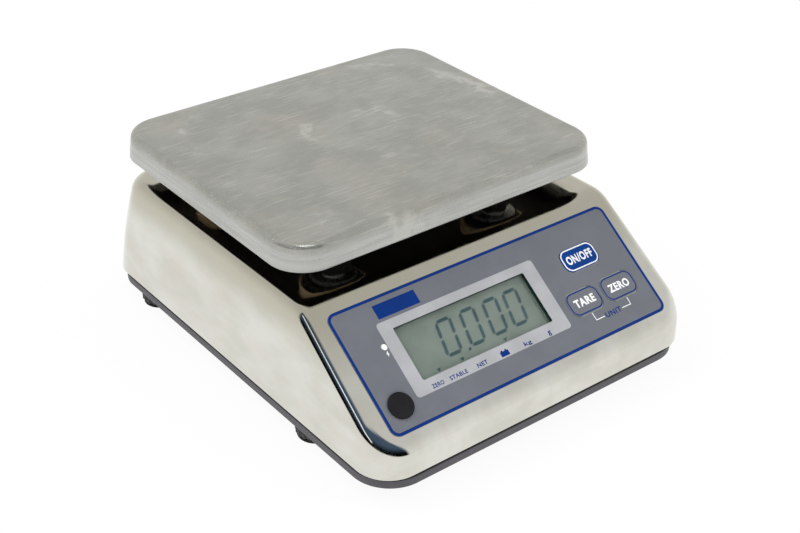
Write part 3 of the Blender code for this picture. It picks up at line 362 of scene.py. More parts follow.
def add(tree, kind, sockets=None, **settings):
    """Adds one node with its settings; a socket takes a plain value or another node's output."""
    made = tree.nodes.new(kind)
    for name, value in settings.items():
        setattr(made, name, value)
    for name, value in (sockets or {}).items():
        if isinstance(value, bpy.types.NodeSocket):
            tree.links.new(value, made.inputs[name])
        else:
            made.inputs[name].default_value = value
    return made


def finish(name, sockets):
    """A material with one Principled shader, plain values set on its own sockets, and Object coordinates."""
    made = bpy.data.materials.get(name)
    if made:
        return made, None, None, None
    made = bpy.data.materials.new(name)
    made.use_nodes = True
    tree = made.node_tree
    shader = tree.nodes["Principled BSDF"]
    for key, value in sockets.items():
        shader.inputs[key].default_value = value
    place = add(tree, "ShaderNodeTexCoord").outputs["Object"]
    return made, tree, shader, place


def grain(tree, place, size, detail=2.0, stretch=None, turn=0.0):
    """Noise whose spots are about a size across, drawn out along an axis where a stretch is given."""
    if stretch:
        sockets = {"Vector": place, "Scale": stretch, "Rotation": (0, 0, turn)}
        place = add(tree, "ShaderNodeMapping", sockets).outputs["Vector"]
    sockets = {"Vector": place, "Scale": 1 / size, "Detail": detail}
    return add(tree, "ShaderNodeTexNoise", sockets).outputs["Fac"]


def between(tree, value, low, high, start=0.35, end=0.65):
    """A value taken smoothly from one number to another, by default over the middle of a noise's range."""
    sockets = {"Value": value, "From Min": start, "From Max": end, "To Min": low, "To Max": high}
    return add(tree, "ShaderNodeMapRange", sockets, interpolation_type="SMOOTHSTEP").outputs["Result"]


def blended(tree, share, first, second):
    """A colour between two, by a share."""
    return add(tree, "ShaderNodeMix", {0: share, 6: first, 7: second}, data_type="RGBA").outputs[2]


def relief(tree, shader, layers):
    """Bump from layers of (height, distance in metres), one on another."""
    normal = None
    for height, distance in layers:
        sockets = {"Height": height, "Distance": distance, "Strength": 1.0}
        if normal is not None:
            sockets["Normal"] = normal
        normal = add(tree, "ShaderNodeBump", sockets).outputs["Normal"]
    tree.links.new(normal, shader.inputs["Normal"])


def polished_stainless():
    """Cold-drawn 304 stainless, polished: a warm mirror, a little hazed, with wiping marks and slow waves."""
    made, tree, shader, place = finish("polished_stainless", {"Metallic": 1.0, "Roughness": 0.08})
    if tree:
        # wiping marks 25 mm across, with finer smears drawn out along the sheet
        cloud = grain(tree, place, 25 * MM, 4.0, (1.0, 0.6, 1.4))
        smear = grain(tree, place, 6 * MM, 3.0, (1.0, 0.25, 0.5))
        tone = blended(tree, between(tree, cloud, 0, 1, 0.3, 0.7), linear("#CFCEC4"), linear("#DCDCD4"))
        tone = blended(tree, between(tree, smear, 0, 0.3, 0.45, 0.7), tone, linear("#D6CABF"))
        # the upper part of the pressing, slope and top, is painted a little yellower and darker by height: a
        # painted reflection of the warmer tone it mirrors there
        height = add(tree, "ShaderNodeSeparateXYZ", {0: place}).outputs["Z"]
        tone = blended(tree, between(tree, height, 0, 0.75, 58 * MM, 84 * MM), tone, linear("#B3AF9C"))
        tree.links.new(tone, shader.inputs["Base Color"])
        tree.links.new(between(tree, smear, 0.05, 0.13), shader.inputs["Roughness"])
        # the press leaves waves about 40 mm long and some hundredths of a millimetre deep
        wave = grain(tree, place, 40 * MM, 1.0)
        relief(tree, shader, [(wave, 0.2 * MM), (smear, 0.005 * MM)])
    return made


def satin_stainless():
    """Satin 304 stainless of a used pan: grey and blurred, with cloudy patches and arcs scratched by pots."""
    # its countless scratches scatter light as a dull surface does, which the lower metallic value stands for
    made, tree, shader, place = finish("satin_stainless", {"Metallic": 0.65, "Roughness": 0.33})
    if tree:
        patch = grain(tree, place, 30 * MM, 8.0)
        stain = grain(tree, place, 11 * MM, 6.0, (1.0, 1.5, 1.0), 0.6)
        warmth = grain(tree, place, 60 * MM, 3.0)
        speck = grain(tree, place, 1.1 * MM, 2.0)
        tone = blended(tree, between(tree, patch, 0, 1, 0.38, 0.62), linear("#94958D"), linear("#9E9F98"))
        tone = blended(tree, between(tree, stain, 0, 0.35, 0.52, 0.68), tone, linear("#ACAAA1"))
        tone = blended(tree, between(tree, warmth, 0, 0.4, 0.5, 0.66), tone, linear("#A19B90"))
        # straight hairlines 0.6 mm wide and some 30 mm long, in two directions
        for turn in (0.5, -0.9):
            hair = grain(tree, place, 0.6 * MM, 1.0, (0.02, 1.0, 1.0), turn)
            tone = blended(tree, between(tree, hair, 0, 0.5, 0.66, 0.72), tone, linear("#D4D4CE"))
        # the turned-down rim is painted brighter than the top, standing in for the brighter light it mirrors from
        # the room; its lengthwise brush streaks are the metal's own grain
        height = add(tree, "ShaderNodeSeparateXYZ", {0: place}).outputs["Z"]
        brushed = grain(tree, place, 1.4 * MM, 2.0, (0.03, 0.03, 1.0))
        rim = blended(tree, between(tree, brushed, 0, 1), linear("#A9AAA6"), linear("#B9BAB7"))
        tone = blended(tree, between(tree, height, 0.8, 0, 113 * MM, 119 * MM), tone, rim)
        # arcs 70 to 90 mm in radius about the pan's middle, broken up by patches
        middle = centre_of("platter")
        sockets = {"Vector": place, "Location": (-middle.x, -middle.y, 0)}
        centred = add(tree, "ShaderNodeMapping", sockets).outputs["Vector"]
        sockets = {"Vector": centred, "Scale": 4.5, "Distortion": 1.2, "Detail": 2.0, "Detail Scale": 30.0}
        rings = {"wave_type": "RINGS", "rings_direction": "Z", "wave_profile": "SIN"}
        arcs = add(tree, "ShaderNodeTexWave", sockets, **rings).outputs["Fac"]
        worn = between(tree, arcs, 0, 1, 0.94, 1.0)
        some = between(tree, grain(tree, place, 30 * MM, 2.0), 0, 0.45, 0.5, 0.66)
        mark = add(tree, "ShaderNodeMath", {0: worn, 1: some}, operation="MULTIPLY").outputs[0]
        tone = blended(tree, mark, tone, linear("#C9C9C2"))
        tree.links.new(tone, shader.inputs["Base Color"])
        tree.links.new(between(tree, stain, 0.25, 0.34), shader.inputs["Roughness"])
        # the grit is finer than a pixel, so it is drawn 1 mm coarse and very shallow
        relief(tree, shader, [(patch, 0.03 * MM), (speck, 0.004 * MM)])
    return made


METAL = {"Metallic": 1.0}
MATT = {"Specular IOR Level": 0.12}
# two tones, roughness, the size and the depth of the relief's spots in millimetres, and other sockets
PLAIN = {
    # die-cast zinc, chromated: dull beige with a warm cast, half bright
    "cast_zinc": ("#E6CBAA", "#D2B592", 0.4, 2.0, 0.02, {"Metallic": 0.35}),
    # bright zinc plate on steel: bluish grey, lightly mottled
    "zinc_plate": ("#B9BCC0", "#9EA2A8", 0.32, 2.0, 0.01, METAL),
    # milled aluminium: pale, with a dull even sheen
    "milled_aluminium": ("#C9CBCD", "#B4B7BA", 0.36, 1.5, 0.01, METAL),
    # painted shade under the pan: its underside is made near black, dull and orange-peeled, so that the gap below
    # it stays dark
    "underside_painted_shade": ("#1D1A17", "#12100E", 0.7, 2.5, 0.10, {"Specular IOR Level": 0.2}),
    # dark grey ABS, spark-eroded texture: an even matt face with a faint bluish cast
    "moulded_abs": ("#4E4C51", "#444247", 0.5, 1.0, 0.03, {}),
    # black silicone rubber: deep, soft and dull
    "silicone_rubber": ("#222224", "#1A1A1C", 0.62, 0.9, 0.02, MATT),
    # black moulded nylon: a little glossier than the rubber, finely grained
    "moulded_nylon": ("#1D1D1F", "#151517", 0.42, 0.8, 0.03, {}),
    # epoxy glass circuit board under green lacquer
    "circuit_board": ("#1E6B3C", "#17582F", 0.35, 1.2, 0.02, {}),
    # black ABS battery case with a dull moulded skin
    "battery_case": ("#2B2B2E", "#222225", 0.5, 1.2, 0.04, {}),
    # grey printed polyester film: velvet grain, one soft sheen, fine specks in the ink
    "printed_film": ("#6E7178", "#6A6D74", 0.5, 0.7, 0.010, MATT),
    # the glass of a reflective liquid crystal display: grey-green, satin polariser
    "display_glass": ("#76827A", "#6F7B72", 0.30, 1.0, 0.005, MATT),
    # the green-black cut edge of the display glass
    "display_rim": ("#14382F", "#0E2A24", 0.25, 1.0, 0.005, MATT),
    # opal polycarbonate lens of the lamp: milky white with a clear skin
    "opal_lens": ("#FBFBFB", "#F2F3F4", 0.22, 1.0, 0.004, {"Coat Weight": 0.3}),
}
INKS = {
    # dark blue of the border
    "border_ink": ("#032F78", 0.5),
    # bright blue of one key
    "key_ink": ("#033A84", 0.5),
    # silver-grey of the frame round the window
    "pale_ink": ("#AEAFB2", 0.5),
    # white of the words and outlines
    "white_ink": ("#F4F5F6", 0.5),
    # liquid crystal segments: a dark blue-green
    "segment_ink": ("#344B50", 0.3),
}


def plain(name, values=None):
    """A material whose tone and gloss wander between two values, over a slight relief.

    On metal they wander with the relief's spots, and on plastic, rubber, paint and ink in slow patches.
    """
    light, dark, roughness, spot, depth, sockets = values or PLAIN[name]
    made, tree, shader, place = finish(name, sockets)
    if tree:
        metal = sockets is METAL
        swing = 0.2 if metal else 0.12
        spots = grain(tree, place, spot * MM, 4.0 if metal else 3.0)
        drift = spots if metal else grain(tree, place, 18 * MM, 3.0)
        tone = blended(tree, between(tree, drift, 0, 1), linear(dark), linear(light))
        gloss = between(tree, drift, (1 - swing) * roughness, (1 + swing) * roughness)
        tree.links.new(tone, shader.inputs["Base Color"])
        tree.links.new(gloss, shader.inputs["Roughness"])
        relief(tree, shader, [(spots, depth * MM)])
    return made


def ink(name):
    """Screen ink on the film: flat in tone but for a slight unevenness of the squeegee."""
    code, sheen = INKS[name]
    shades = np.array([int(code[at : at + 2], 16) for at in (1, 3, 5)])
    darker = "#" + "".join(f"{int(shade * 0.95):02X}" for shade in shades)
    return plain(name, (code, darker, sheen, 0.7, 0.008, MATT))


def window_acrylic():
    """Clear cast acrylic, polished: no colour, and faint reflections over what lies behind it.

    Most of it is left open by its alpha, so that the figures behind it stay crisp.
    """
    made, tree, shader, place = finish(
        "window_acrylic",
        {"Base Color": linear("#FBFDFC"), "Transmission Weight": 1.0, "IOR": 1.49, "Alpha": 0.12},
    )
    if tree:
        haze = grain(tree, place, 9 * MM, 3.0)
        tree.links.new(between(tree, haze, 0.02, 0.05), shader.inputs["Roughness"])
    return made


def wear(material, *nodes):
    """Gives CAD nodes a finish."""
    for node in nodes:
        for slot in frame["nodes"][node].material_slots:
            slot.material = material


def settle(made, body, slot, *nodes):
    """Lets a piece ride on a body and hides the CAD nodes that it stands for. The slot is not used."""
    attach(made, body)
    if nodes:
        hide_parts(*nodes)
    return made


def on_panel(name, points, faces, material, body, slot, *nodes, sharp=35):
    """A piece given in the panel's frame."""
    made = piece(name, place_rows(points.reshape(-1, 3), PANEL), faces, material, sharp)
    return settle(made, body, slot, *nodes)


def panel_sheet(name, grid, material, body, slot, *nodes, wrap_rows=False, sharp=35):
    """A grid of points given in the panel's frame."""
    rows, columns, _ = grid.shape
    faces = grid_faces(rows, columns, wrap_rows)
    return on_panel(name, grid, faces, material, body, slot, *nodes, sharp=sharp)


def flat_prints(name, shapes, low, high, material, slot="grey_overlay"):
    """Flat shapes on the panel between two heights, all in millimetres."""
    points, faces = prisms(np.array(shapes) * MM, low * MM, high * MM)
    on_panel(name, points, faces, material, "housing", slot)


def turned_pieces(prefix, name, profile, material, body, slot, count=64, **options):
    """Turned pieces for four like CAD nodes, each on its node's axis and up from its foot.

    The profile is worked out from the node's radius and height.
    """
    for number in range(1, 5):
        node = f"{prefix}_{number}"
        low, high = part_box(node)
        rows = profile((high.x - low.x) / 2, high.z - low.z)
        grid = turned(rows, (*centre_of(node)[:2], low.z), count)
        settle(sheet(f"{name}_{number}", grid, material, **options), body, slot, node)


LETTER_SPACING = 1.12


def lettering(name, words, centre, size, material, body, slot, level=0.0, bold=0.0, dome=None):
    """Words as thin raised ink: the built-in font made a mesh, fitted to a width and height about a centre."""
    curve = bpy.data.curves.new(name, "FONT")
    curve.body = words
    curve.offset = bold
    curve.space_character = LETTER_SPACING
    curve.extrude = 0.02
    curve.resolution_u = 6
    sketch = bpy.data.objects.new(name, curve)
    bpy.context.scene.collection.objects.link(sketch)
    mesh = bpy.data.meshes.new_from_object(sketch.evaluated_get(bpy.context.evaluated_depsgraph_get()))
    bpy.data.objects.remove(sketch)
    bpy.data.curves.remove(curve)
    points = np.empty(3 * len(mesh.vertices))
    mesh.vertices.foreach_get("co", points)
    points = points.reshape(-1, 3)
    low, high = points.min(0), points.max(0)
    flat = (points[:, :2] - (low[:2] + high[:2]) / 2) / (high[:2] - low[:2]) * np.array(size)
    flat = flat + np.array(centre)
    lift = level + np.where(points[:, 2] > 0, 0.03 * MM, -0.02 * MM)
    if dome:
        lift = lift + dome(flat[:, 0], flat[:, 1])
    placed = place_rows(np.column_stack([flat, lift]), PANEL)
    mesh.vertices.foreach_set("co", placed.reshape(-1))
    work = bmesh.new()
    work.from_mesh(mesh)
    bmesh.ops.remove_doubles(work, verts=work.verts, dist=1e-7)
    bmesh.ops.recalc_face_normals(work, faces=work.faces)
    work.to_mesh(mesh)
    work.free()
    mesh.materials.clear()
    mesh.materials.append(material)
    made = bpy.data.objects.new(name, mesh)
    bpy.context.scene.collection.objects.link(made)
    return settle(made, body, slot)


# Sizes and colours that a user may change


class ScaleSizes(bpy.types.PropertyGroup):
    cover_rounding: bpy.props.FloatProperty(
        name="Cover rounding", default=7.4 * MM, unit="LENGTH",
        description="How far the cover's faces stop short of its roof edges",
    )
    cover_corner: bpy.props.FloatProperty(
        name="Cover corner", default=22 * MM, unit="LENGTH",
        description="Radius of the cover's upright corners",
    )
    slope_angle: bpy.props.FloatProperty(
        name="Slope", default=math.radians(34.91), subtype="ANGLE",
        description="Angle of the printed panel to the table",
    )
    sheet_thickness: bpy.props.FloatProperty(
        name="Sheet thickness", default=1.2 * MM, unit="LENGTH",
        description="Thickness of the stainless sheet",
    )
    pan_rounding: bpy.props.FloatProperty(
        name="Pan rounding", default=3.5 * MM, unit="LENGTH",
        description="How far the pan's faces stop short of its upper edge",
    )
    pan_corner: bpy.props.FloatProperty(
        name="Pan corner", default=23 * MM, unit="LENGTH",
        description="Radius of the pan's corners",
    )
    thread_pitch: bpy.props.FloatProperty(
        name="Thread pitch", default=1.25 * MM, unit="LENGTH",
        description="Rise of the foot's thread in one turn",
    )
    key_dome: bpy.props.FloatProperty(
        name="Key dome", default=0.12 * MM, unit="LENGTH",
        description="How much higher a key is in its middle",
    )


class ScaleColours(bpy.types.PropertyGroup):
    world: bpy.props.FloatVectorProperty(
        name="Background",
        description="Colour of the background and of the light from all round",
        default=(1.0, 1.0, 1.0),
        subtype="COLOR",
        size=3,
    )
    floor: bpy.props.FloatVectorProperty(
        name="Floor",
        description="Colour of the table top",
        default=linear("#F4F4F2")[:3],
        subtype="COLOR",
        size=3,
    )


# Pieces


def build_cover(sizes):
    """The wedge-shaped cover, with its face opened under the window and the socket."""
    low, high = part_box("top_cover")
    width, depth, height = high - low
    middle_y = (low.y + high.y) / 2
    slope_rise = math.tan(sizes.slope_angle)
    printed = PANEL.translation
    face = printed.z - low.z - 0.3 * MM / math.cos(sizes.slope_angle)
    ridge = printed.y + (height - face) / slope_rise
    radius = sizes.cover_rounding / math.tan(sizes.slope_angle / 2)
    flat_from = ridge + sizes.cover_rounding
    bend_from = ridge - sizes.cover_rounding * math.cos(sizes.slope_angle)

    def roof(y):
        """Flat behind the ridge, a plane before it, and a circular arc between them."""
        arc = height - radius + np.sqrt(np.clip(radius**2 - (y - flat_from) ** 2, 0, None))
        plane = face + (y - printed.y) * slope_rise
        return np.where(y > flat_from, height, np.where(y < bend_from, plane, arc))

    def slope(y):
        """The roof's rise in y, part by part."""
        arc = -(y - flat_from) / np.sqrt(np.clip(radius**2 - (y - flat_from) ** 2, 1e-9, None))
        return np.where(y > flat_from, 0, np.where(y < bend_from, slope_rise, arc))

    form = {
        "width": width,
        "depth": depth,
        "height": height,
        "corner": sizes.cover_corner,
        "rounding": sizes.cover_rounding,
        # sides, front and rear, as the photograph's outline shows them
        "drafts": (0.037, 0.022, 0.163),
        "bulges": (0.019, 0.0, 0.117),
        "roof": roof,
        "slope": slope,
    }
    trip = round_trip(118, 50, 18)
    grid, _ = thick_shell(form, sizes.sheet_thickness, trip, 100, 24, (0.0, 0.03))
    grid = grid + np.array([0, middle_y, low.z])
    local = (grid - np.array(printed)) @ np.array(PANEL.to_3x3())
    middle = (local + np.roll(local, -1, 1)) / 2
    middle = (middle[:-1] + middle[1:]) / 2
    # the printed film covers the stepped edges of both openings
    near = abs(middle[..., 2]) < 4 * MM
    u, v, _ = PANEL.inverted() @ centre_of("display_window")
    past_window = (abs(middle[..., 0] - u) > 51.5 * MM) | (abs(middle[..., 1] - v) > 20.6 * MM)
    u, v, _ = PANEL.inverted() @ centre_of("socket_plug")
    past_socket = np.hypot(middle[..., 0] - u, middle[..., 1] - v) > 6.6 * MM
    keep = ~near | (past_window & past_socket)
    made = sheet("cover", grid, polished_stainless(), keep=keep, sharp=40)
    settle(made, "housing", "polished_steel", "top_cover")


def build_pan(sizes):
    """The lift-off pan: a flat roof, walls that flare a little, rounded edges and a hollow underside."""
    low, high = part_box("platter")
    width, depth, height = high - low
    flare = 1.49 * MM / height
    form = {
        "width": width,
        "depth": depth,
        "height": height,
        "corner": sizes.pan_corner,
        "rounding": sizes.pan_rounding,
        "drafts": (flare, flare, flare),
        "bulges": (0.0, 0.0, 0.0),
        "roof": lambda y: np.full_like(y, height),
        "slope": lambda y: np.zeros_like(y),
    }
    grid, inner = thick_shell(form, sizes.sheet_thickness, round_trip(50, 60, 18), 50, 30, (0.0, 0.0))
    grid = grid + np.array([(low.x + high.x) / 2, (low.y + high.y) / 2, low.z])
    # the near-black underside finish is painted shade for the gap under the pan
    underside = (plain("underside_painted_shade"), (inner + 4) * grid.shape[1])
    made = sheet("pan", grid, satin_stainless(), sharp=40, second=underside)
    settle(made, "platter", "brushed_steel", "platter")


def build_cups():
    """Four cups under the pan: tubes with a rolled lower edge, turned about their axes."""

    def profile(radius, height):
        inner = radius - 1.2 * MM
        section = [(inner, height), (radius, height), (radius, 0), (inner, 0)]
        return eased(section, 0.5 * MM, ring=True)

    zinc = plain("cast_zinc")
    turned_pieces("platter_cup", "cup", profile, zinc, "platter", "polished_steel", 72, wrap_rows=True)


def build_cushions():
    """Four rubber cushions on the posts, with a rounded upper edge and a socket below."""
    spigot = 4.3 * MM
    deep = 5 * MM

    def profile(radius, height):
        outside = [(0, height), (radius, height), (radius, 0)]
        return eased([*outside, (spigot, 0), (spigot, deep), (0, deep)], 1.2 * MM)

    turned_pieces("post_cushion", "cushion", profile, plain("silicone_rubber"), "housing", "black_rubber")


def build_posts():
    """Four turned posts with a broad head and chamfered spigots."""
    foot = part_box("spider")[0].z + 3.3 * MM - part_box("support_post_1")[0].z
    spigot, stem, flange, disc = 4 * MM, 7 * MM, 11 * MM, 14 * MM

    def profile(radius, height):
        head = height - 5 * MM
        under = head - 2.4 * MM
        above = foot + 3 * MM
        upper = [(0, height), (spigot, height), (spigot, head), (disc, head), (disc, under), (stem, under)]
        lower = [(stem, above), (flange, above), (flange, foot), (spigot, foot), (spigot, 0), (0, 0)]
        return eased(upper + lower, 0.4 * MM)

    turned_pieces("support_post", "post", profile, plain("zinc_plate"), "housing", "plated_steel", 56)


def build_boots():
    """Four bellows: the radius narrows upwards with two soft folds, between a flange and a collar."""
    wall = 1.2 * MM
    neck = 8.5 * MM
    flange = 14.5 * MM

    def profile(radius, height):
        t = np.linspace(0, 1, 41)
        level = wall + t * (height - 2 * MM - wall)
        radius = neck + (12.5 * MM - neck) * (1 - t) + wall * np.sin(2 * np.pi * t) ** 2
        folds = np.stack([radius, level], -1)[::-1]
        outer = [[(neck, height)], folds, [(flange, wall), (flange, 0)]]
        inner = [[(11.3 * MM, 0)], folds[::-1] - [wall, 0], [(neck - wall, height)]]
        return np.concatenate(outer + inner)

    rubber = plain("silicone_rubber")
    options = {"wrap_rows": True, "sharp": 50}
    turned_pieces("post_boot", "boot", profile, rubber, "housing", "black_rubber", **options)


def build_base():
    """The base's smooth rim and the seal on it: closed sections with rounded edges, carried round the base."""
    low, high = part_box("base_plate")
    skin = 0.03 * MM
    bottom = low.z - skin
    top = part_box("cover_gasket")[0].z - GAP + skin
    width = high.x - low.x + 2 * skin
    depth = high.y - low.y + 2 * skin
    trip = round_trip(8, 8, 32)

    def carried_round(section, ease):
        rows = []
        for inset, level in eased(section, ease, ring=True):
            line = outline(width - 2 * inset, depth - 2 * inset, 25 * MM - inset, (0, 0), trip)
            rows.append(at_level(line, level))
        return np.stack(rows) + np.array([(low.x + high.x) / 2, (low.y + high.y) / 2, 0])

    inner = 1.7 * MM
    grid = carried_round([(inner, top), (0.0, top), (0.0, bottom), (inner, bottom)], 0.8 * MM)
    settle(sheet("base_rim", grid, plain("moulded_abs"), wrap_rows=True), "housing", "dark_paint")

    # the seal swells out a little over the rim's upper edge
    inner, outer = 3.0 * MM, -0.1 * MM
    above, below = top + 1.4 * MM, top - 0.9 * MM
    grid = carried_round([(inner, above), (outer, above), (outer, below), (inner, below)], 0.4 * MM)
    made = sheet("seal", grid, plain("silicone_rubber"), wrap_rows=True)
    settle(made, "housing", "black_rubber", "cover_gasket")


WORDS = {
    # place, size and height above the film, in millimetres
    "ZERO": (-63.9, -21.3, 8.2, 2.5, 0.03),
    "STABLE": (-49.2, -21.3, 12.5, 2.5, 0.03),
    "NET": (-32.0, -21.3, 7.4, 2.5, 0.03),
    "kg": (2.0, -21.8, 5.6, 3.1, 0.03),
    "g": (19.0, -21.8, 2.4, 3.1, 0.03),
    "UNIT": (67.6, -26.3, 12.6, 3.4, 0.0),
}


def build_prints():
    """The panel's prints: border, frame round the window, bare blue field, words and small marks."""
    fine = round_trip(10, 10, 24)
    width, depth, corner, line = 206.9 * MM, 74.8 * MM, 4.6 * MM, 1.7 * MM
    outer = outline(width + line, depth + line, corner + line / 2, (0, 0), fine)
    inner = outline(width - line, depth - line, corner - line / 2, (0, 0), fine)
    border = printed_ring(outer, inner, *INK)
    panel_sheet("border_line", border, ink("border_ink"), "housing", "grey_overlay", wrap_rows=True)

    outer = outline(114.8 * MM, 47.0 * MM, 2.2 * MM, (-21.97 * MM, -0.37 * MM))
    inner = outline(96.4 * MM, 33.5 * MM, 1.0 * MM, (-22.58 * MM, 0.745 * MM))
    window = printed_ring(outer, inner, *INK)
    panel_sheet("window_frame", window, ink("pale_ink"), "housing", "grey_overlay", wrap_rows=True)

    field = outline(29.2, 8.5, 0.3, (-60.9, 29.25))[None]
    flat_prints("blue_field", field, -0.02, 0.04, ink("border_ink"))

    for word, values in WORDS.items():
        u, v, long, tall, level = (value * MM for value in values)
        name = f"word_{word.lower()}"
        blue = ink("border_ink")
        lettering(name, word, (u, v), (long, tall), blue, "housing", "grey_overlay", level, 0.022)

    strokes = [
        ((53.4, -21.5), (53.5, -26.5)),
        ((53.2, -26.5), (60.2, -26.4)),
        ((75.0, -26.3), (82.2, -26.4)),
        ((82.1, -26.6), (82.4, -21.7)),
    ]
    bars = [bar(first, last, 0.55) for first, last in strokes]
    flat_prints("unit_bracket", bars, -0.02, 0.03, ink("white_ink"))

    case_and_poles = [
        [(-18.3, -23.0), (-12.3, -23.0), (-12.3, -19.9), (-18.3, -19.9)],
        [(-17.3, -19.9), (-16.1, -19.9), (-16.1, -19.2), (-17.3, -19.2)],
        [(-14.5, -19.9), (-13.3, -19.9), (-13.3, -19.2), (-14.5, -19.2)],
    ]
    flat_prints("battery_mark", case_and_poles, 0.01, 0.06, ink("border_ink"))

    bolt = [
        [(-80.9, 6.9), (-81.5, 6.9), (-82.6, 5.2), (-81.6, 5.2)],
        [(-82.0, 3.7), (-80.6, 5.6), (-81.6, 5.6), (-82.1, 4.4)],
    ]
    flat_prints("charge_mark", bolt, -0.02, 0.03, ink("white_ink"))


KEYS = {
    # word, its width and height, and the key's place, width and depth on the panel, in millimetres
    "key_on_off": ("ON/OFF", 20.5, 5.6, 68.0, 12.8, 27.4, 15.0),
    "key_tare": ("TARE", 16.0, 5.2, 53.3, -13.1, 25.2, 15.5),
    "key_zero": ("ZERO", 16.6, 5.2, 81.8, -13.0, 25.8, 15.6),
}


def build_keys(sizes):
    """Three keys: caps with a soft edge and a slight dome, and a printed outline and word that follow the dome."""
    trip = round_trip(8, 10, 14)
    corner = 5.5 * MM
    edge = 0.35 * MM
    below = -2.6 * MM
    top = 0.4 * MM - sizes.key_dome
    for node, (word, *values) in KEYS.items():
        long, tall, u, v, width, depth = (value * MM for value in values)
        blue = node == "key_on_off"

        def dome(x, y):
            """Highest in the middle, falling as the square of the share of the way out on each axis."""
            across = np.clip(1 - ((x - u) / (width / 2)) ** 2, 0, 1)
            along = np.clip(1 - ((y - v) / (depth / 2)) ** 2, 0, 1)
            return sizes.key_dome * across * along

        def drawn_in(inset):
            """The cap's outline at a distance inside its widest."""
            rounding = max(corner - inset, 0.2 * MM)
            return outline(width - 2 * inset, depth - 2 * inset, rounding, (u, v), trip)

        rows = [np.tile([u, v, top], (len(trip[0]), 1))]
        for share in np.linspace(0.1, 1, 14):
            inset = edge + (1 - share) * (depth / 2 - 5.6 * MM)
            rows.append(at_level(drawn_in(inset), top))
        for beta in np.linspace(0, np.pi / 2, 6)[1:]:
            inset = edge * (1 - math.sin(beta))
            rows.append(at_level(drawn_in(inset), top - edge * (1 - math.cos(beta))))
        rows += [row * [1, 1, 0] + [0, 0, below] for row in (rows[-1], rows[0])]
        grid = np.stack(rows)
        grid[:-2, :, 2] += dome(grid[:-2, :, 0], grid[:-2, :, 1])
        material = ink("key_ink") if blue else plain("printed_film")
        slot = "blue_key" if blue else "grey_key"
        panel_sheet(f"cap_{node[4:]}", grid, material, node, slot, node, sharp=50)

        inset = 0.55 * MM
        line = 0.8 * MM if blue else 0.75 * MM
        ring = printed_ring(drawn_in(inset), drawn_in(inset + line), top - 0.03 * MM, top + 0.03 * MM)
        ring[..., 2] += dome(ring[..., 0], ring[..., 1])
        tint = ink("white_ink") if blue else ink("border_ink")
        panel_sheet(f"outline_{node[4:]}", ring, tint, node, slot, wrap_rows=True)
        name = f"word_{node[4:]}"
        lettering(name, word, (u, v), (long, tall), ink("white_ink"), node, slot, top, 0.0385, dome)


def build_display():
    """The clear pane, and the display's segments: four slanted figures, a point and small pointers."""
    middle = PANEL.inverted() @ centre_of("display_window")
    centre = (middle.x, middle.y)
    pane = outline(98.8 * MM, 35.9 * MM, 2.0 * MM, centre)
    top, bottom = -0.8 * MM, -2.3 * MM
    rings = ((0.0, top), (0.5, top), (1.0, top), (1.0, bottom), (0.5, bottom), (0.0, bottom))
    grid = np.stack([at_level((pane - centre) * share + centre, level) for share, level in rings])
    made = panel_sheet("window_pane", grid, window_acrylic(), "housing", "clear_window", "display_window")
    made.visible_shadow = False

    # the display's face in millimetres, and how far the ink stands above it
    face, inked = -3.5, -3.46
    inner = outline(96.9 * MM, 34.0 * MM, 1.2 * MM, centre)
    grid = printed_ring(pane, inner, (face - 0.02) * MM, bottom - 0.05 * MM)
    panel_sheet("display_seal", grid, plain("display_rim"), "housing", "lcd_green", wrap_rows=True)

    tall, wide, thick, lean = 22.4, 9.6, 2.1, 0.19
    half = thick / 2

    def segment(x, y, length, upright):
        """A stroke with pointed ends along x, or up along y."""
        left, right = half, length - half
        shape = np.array([(left, -half), (right, -half), (length, 0), (right, half), (left, half), (0, 0)])
        shape = shape[:, ::-1] * [-1, 1] if upright else shape
        return shape + [x, y]

    gap = 0.35
    across = wide - 2 * gap
    upward = tall / 2 - half - 2 * gap
    figures = []
    for left in (-43.6, -26.2, -9.2, 6.4):
        figure = np.stack([
            segment(gap, tall - half, across, False),
            segment(gap, half, across, False),
            segment(0, half + gap, upward, True),
            segment(0, tall / 2 + gap, upward, True),
            segment(wide, half + gap, upward, True),
            segment(wide, tall / 2 + gap, upward, True),
        ])
        figure[..., 0] += figure[..., 1] * lean + left - tall * lean + 1.2
        figure[..., 1] += -9.8
        figures.append(figure)
    flat_prints("display_figures", np.concatenate(figures), face, inked, ink("segment_ink"), "lcd_green")

    point = [[(-32.6, -10.9), (-30.9, -10.9), (-30.6, -9.2), (-32.3, -9.2)]]
    flat_prints("display_point", point, face, inked, ink("segment_ink"), "lcd_green")
    pointers = [[(u - 1.5, -12.6), (u, -14.9), (u + 1.5, -12.6)] for u in (-56.3, -39.5, -7.6)]
    flat_prints("display_pointers", pointers, face, inked, ink("segment_ink"), "lcd_green")


# (radius, height above the film) of the plug with its hollow stem, and of the socket round its pin, in millimetres
PLUG = [
    (0, 1.8), (6.2, 1.7), (7.75, 1.35), (7.75, 0.3), (3.7, 0.3),
    (3.7, -8), (1.3, -8), (1.3, -2.4), (0, -2.4),
]
SOCKET = [
    (0, -3.5), (1.0, -3.5), (1.0, -8.3), (4.0, -8.3), (4.0, -0.3), (5.3, -0.3),
    (5.3, -2.1), (7.5, -2.1), (7.5, -3.6), (6.0, -3.6), (6.0, -11.3), (0, -11.3),
]


